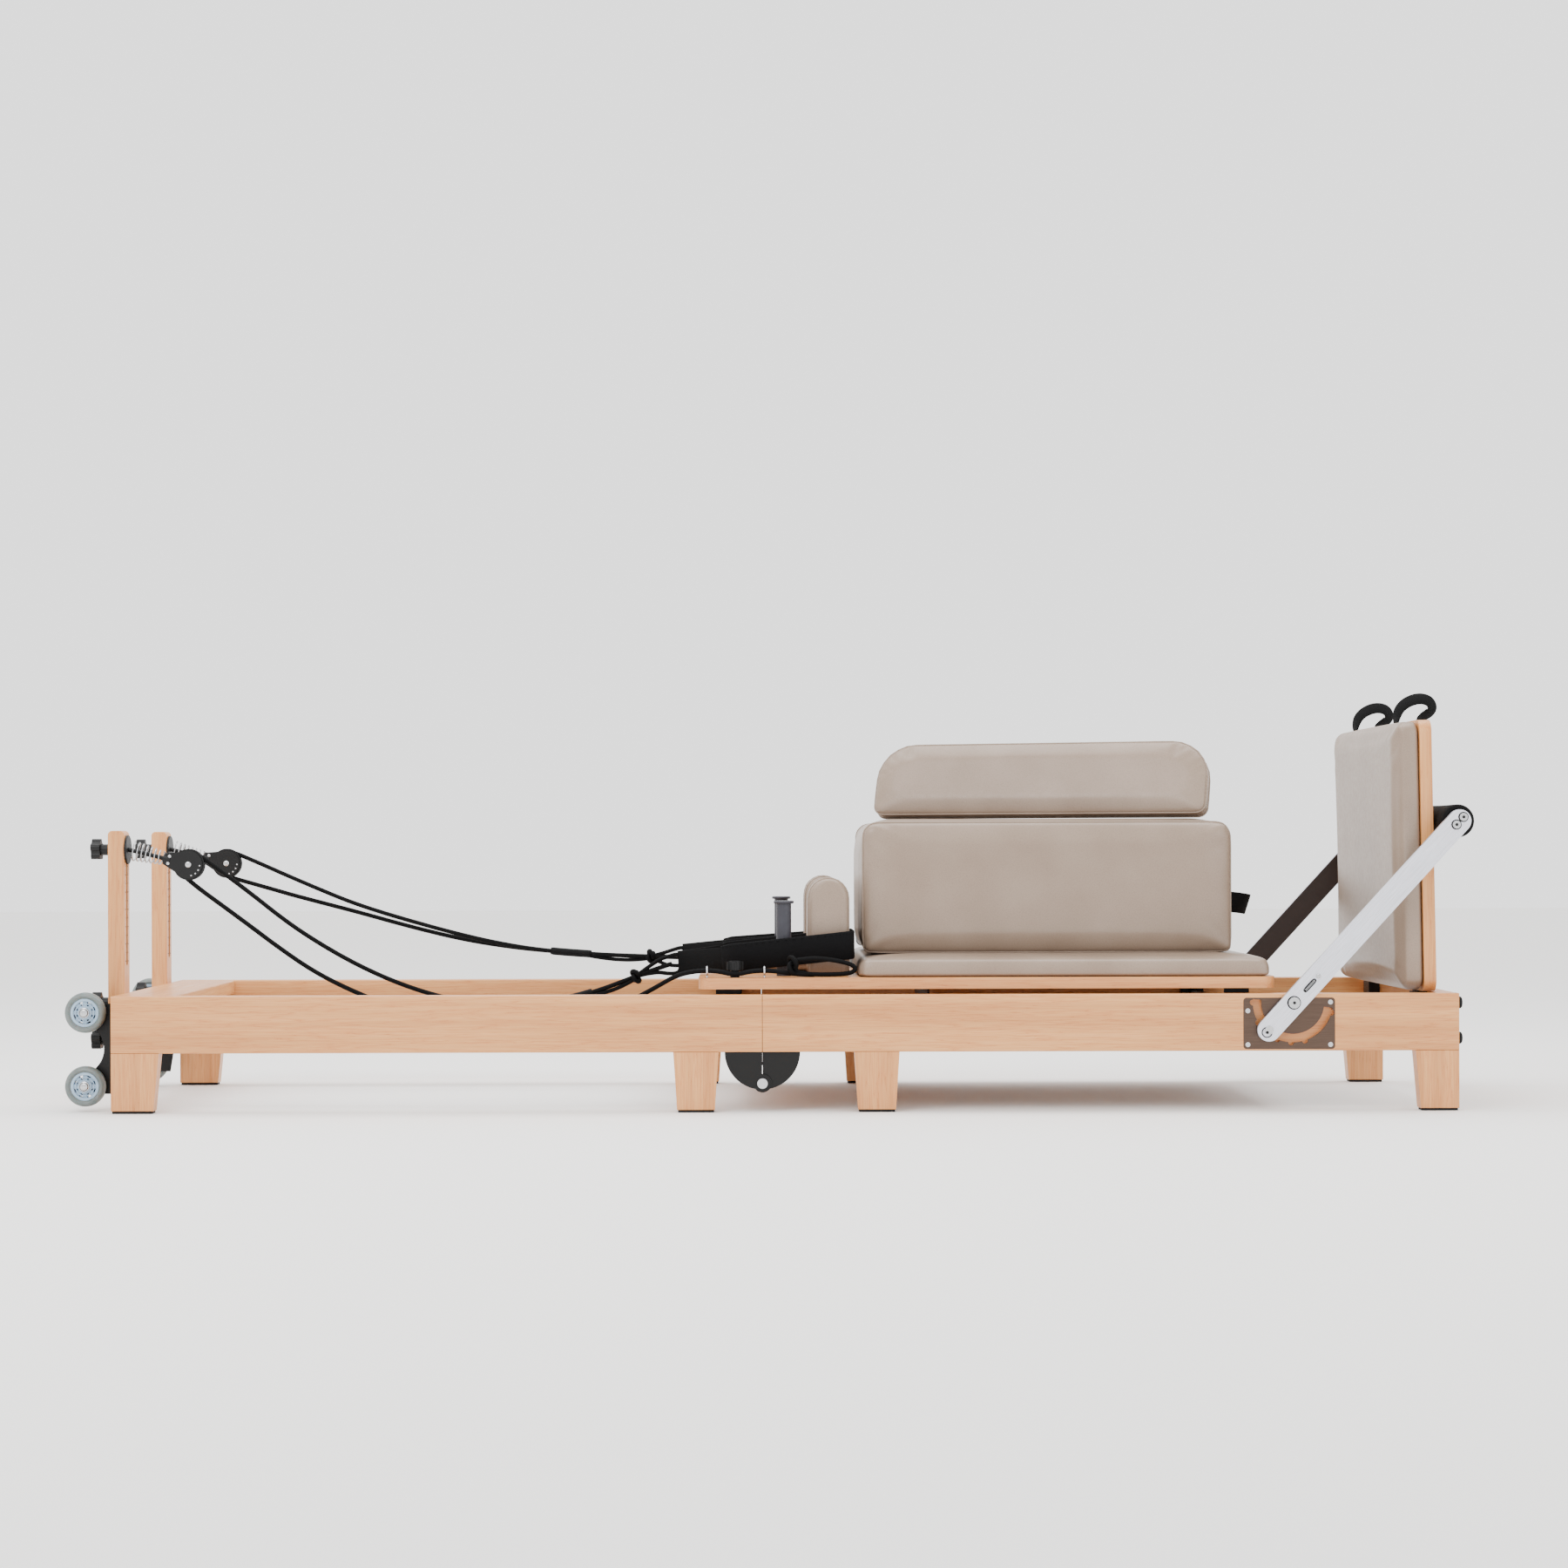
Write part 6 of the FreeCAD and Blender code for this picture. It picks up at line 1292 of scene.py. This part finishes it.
class REFORMER_OT_pulley_details(bpy.types.Operator):
    """Pin heads and the ring of pressed dimples on the pulleys' cheeks, and the height scale on the risers"""
    bl_idname = "reformer.pulley_details"
    bl_label = "Pulley Details"

    def execute(self, context):
        for side, sign in SIDES.items():
            axle = Vector(JOINTS["sheave_" + side + "_spin"]["pos_m"])
            pin = turned("pin", [(0.0, 0.0088), (0.0052, 0.0088), (0.0052, 0.0112), (0.0042, 0.0120),
                                 (0.0015, 0.0122), (0.0, 0.0122)], Vector((0, 0, 0)), 28)
            back = (at(PULLEY_EYE_X, PULLEY_Y * sign, PULLEY_EYE_Z) - axle).normalized()
            up = Vector((-back.z, 0, back.x))
            screws = [(back * 0.036 + up * offset, 0.0028) for offset in (-0.0065, 0.0065)]
            dimples = [(Vector((math.cos(math.radians(a)), 0, math.sin(math.radians(a)))) * 0.0205, 0.0014)
                       for a in (-75, -52, -29, -6)]
            heads = [turned("head", [(0.0, 0.0090), (size, 0.0090), (size, 0.0099), (size * 0.6, 0.0103),
                                     (0.0, 0.0103)], place, 14) for place, size in screws + dimples]
            for part, label in ((pin, "pin_heads"), (joined("heads", heads), "cheek_eyelets")):
                both = joined("pulley_%s_%s" % (label, side), [
                    copied(part, "cheek", Matrix.Translation(axle) @ Matrix.Scale(way, 4, (0, 1, 0)))
                    for way in (1, -1)])
                bpy.data.objects.remove(part)
                fit(both, "nickel_plated_steel", "head_frame")
            # twelve ticks either side of the riser's slot, long and short in turn, and a line down each edge
            ticks = [(0.0125 if i % 2 == 0 else 0.0085, SCALE_FOOT + i * SCALE_STEP - 0.0008,
                      SCALE_FOOT + i * SCALE_STEP + 0.0008) for i in range(12)]
            ticks.append((0.0056, SCALE_FOOT - 0.006, SCALE_FOOT + 0.184))
            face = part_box("risers")[1].x
            marks = []
            for reach, bottom, top in ticks:
                for edge in (-1, 1):
                    ends = sorted(sign * PULLEY_Y * MM + edge * out for out in (0.0046, reach))
                    marks.append(block("mark", (face - 0.0002, ends[0], bottom), (face + 0.0003, ends[1], top)))
            scale = apply(joined("riser_scale_" + side, marks), "BEVEL", width=0.0001, segments=1)
            fit(scale, "engraved_ink", "head_frame")
        return {"FINISHED"}


# the outer faces of the bolts' heads, from the frame's middle
ARM_BOLT_FACE, PIVOT_BOLT_FACE = 0.345, 0.3462


class REFORMER_OT_arm_details(bpy.types.Operator):
    """Dark washers and hexagon sockets on the footbar's bolts, and the latch spring in its slot on each arm"""
    bl_idname = "reformer.arm_details"
    bl_label = "Arm Details"

    def execute(self, context):
        pivot = Vector(JOINTS["footbar_swing"]["pos_m"])
        lean = math.radians(ARM_LEAN)
        arm = Vector((math.cos(lean), 0, math.sin(lean)))
        low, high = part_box("footbar_grip")
        grip = (low + high) / 2
        for side, sign in SIDES.items():
            dark, swivel = [], []
            for spot, radius, face, parts in ((grip + arm * 0.009, 0.0070, ARM_BOLT_FACE, dark),
                                              (grip - arm * 0.009, 0.0070, ARM_BOLT_FACE, dark),
                                              (pivot - arm * 0.070, 0.0075, ARM_BOLT_FACE, dark),
                                              (pivot, 0.0100, PIVOT_BOLT_FACE, swivel)):
                centre = Vector((spot.x, 0, spot.z))
                inner, outer = radius + 0.0002, radius + 0.0020
                parts.append(turned("washer", [(inner, 0.3421), (outer, 0.3421), (outer, 0.3428),
                                               (radius + 0.0014, 0.3434), (inner, 0.3434)], centre, 36))
                socket = begin("socket", bpy.ops.mesh.primitive_cylinder_add, vertices=6, radius=0.0030, depth=0.0006,
                               location=centre + Vector((0, face + 0.0001, 0)), rotation=(math.radians(90), 0, 0))
                parts.append(apply(socket, "BEVEL", width=0.0002, segments=1))
            # the slot, its coil and the screw that holds the coil
            slot_line = [Vector((pivot.x, 0.3422, pivot.z)) + arm * away for away in
                         (0.026, 0.028, 0.034, 0.042, 0.050, 0.054, 0.056)]
            dark.append(sweep("slot", slot_line, flat_outline(0.0085, 0.0008), across=Vector((arm.z, 0, -arm.x)),
                              scales=[0.45, 0.85, 1, 1, 1, 0.85, 0.45]))
            spring = coil("spring", 0.0021, 0.0009, 0.0017, 14, sides=5, steps=10)
            aim = Vector((1, 0, 0)).rotation_difference(arm).to_matrix().to_4x4()
            spring.data.transform(Matrix.Translation(slot_line[0] + arm * 0.003 + Vector((0, 0.0010, 0))) @ aim)
            screw = turned("screw", [(0.0, 0.3420), (0.0042, 0.3420), (0.0042, 0.3440), (0.0034, 0.3448),
                                     (0.0, 0.3450)], Vector((pivot.x, 0, pivot.z)) + arm * 0.063, 24)
            for label, parts, finish, slot, body in (
                    ("footbar_washers_", dark, "moulded_nylon_black", "plastic_black", "footbar"),
                    ("latch_spring_", [spring, screw], "nickel_plated_steel", "steel_chrome", "footbar"),
                    ("pivot_washer_", swivel, "moulded_nylon_black", "plastic_black", "footbar_swivel")):
                whole = joined(label + side, parts)
                if sign < 0:
                    whole.data.transform(Matrix.Scale(-1, 4, (0, 1, 0)))
                    whole.data.flip_normals()
                fit(whole, finish, body)
        return {"FINISHED"}


# ---------------------------------------------------------------- panel and run

STEPS = [
    REFORMER_OT_stage, REFORMER_OT_finishes, REFORMER_OT_ropes, REFORMER_OT_hand_straps, REFORMER_OT_carriage_pad,
    REFORMER_OT_shoulder_rests, REFORMER_OT_headrest, REFORMER_OT_long_box, REFORMER_OT_lumbar_cushion,
    REFORMER_OT_jump_pad, REFORMER_OT_footbar_grip, REFORMER_OT_springs, REFORMER_OT_skate_wheels,
    REFORMER_OT_cleats, REFORMER_OT_pulley_details, REFORMER_OT_arm_details,
]


class REFORMER_PT_pieces(bpy.types.Panel):
    """Lists the reformer's pieces in the 3D view's sidebar"""
    bl_idname = "REFORMER_PT_pieces"
    bl_label = "Reformer"
    bl_space_type = "VIEW_3D"
    bl_region_type = "UI"
    bl_category = "Reformer"

    def draw(self, context):
        for group in (context.scene.reformer_sizes, context.scene.reformer_colours):
            for name in group.__annotations__:
                self.layout.prop(group, name)
        for step in STEPS:
            self.layout.operator(step.bl_idname)


CLASSES = [ReformerSizes, ReformerColours, *STEPS, REFORMER_PT_pieces]


def register():
    """Make the sizes, colours, steps and panel known to Blender"""
    for kind in CLASSES:
        bpy.utils.register_class(kind)
    bpy.types.Scene.reformer_sizes = bpy.props.PointerProperty(type=ReformerSizes)
    bpy.types.Scene.reformer_colours = bpy.props.PointerProperty(type=ReformerColours)


def unregister():
    """Take them out again, last one first"""
    del bpy.types.Scene.reformer_colours
    del bpy.types.Scene.reformer_sizes
    for kind in reversed(CLASSES):
        bpy.utils.unregister_class(kind)


def main():
    """Run every step in order"""
    register()
    for step in STEPS:
        group, _, name = step.bl_idname.partition(".")
        getattr(getattr(bpy.ops, group), name)()


if __name__ == "__main__":
    main()
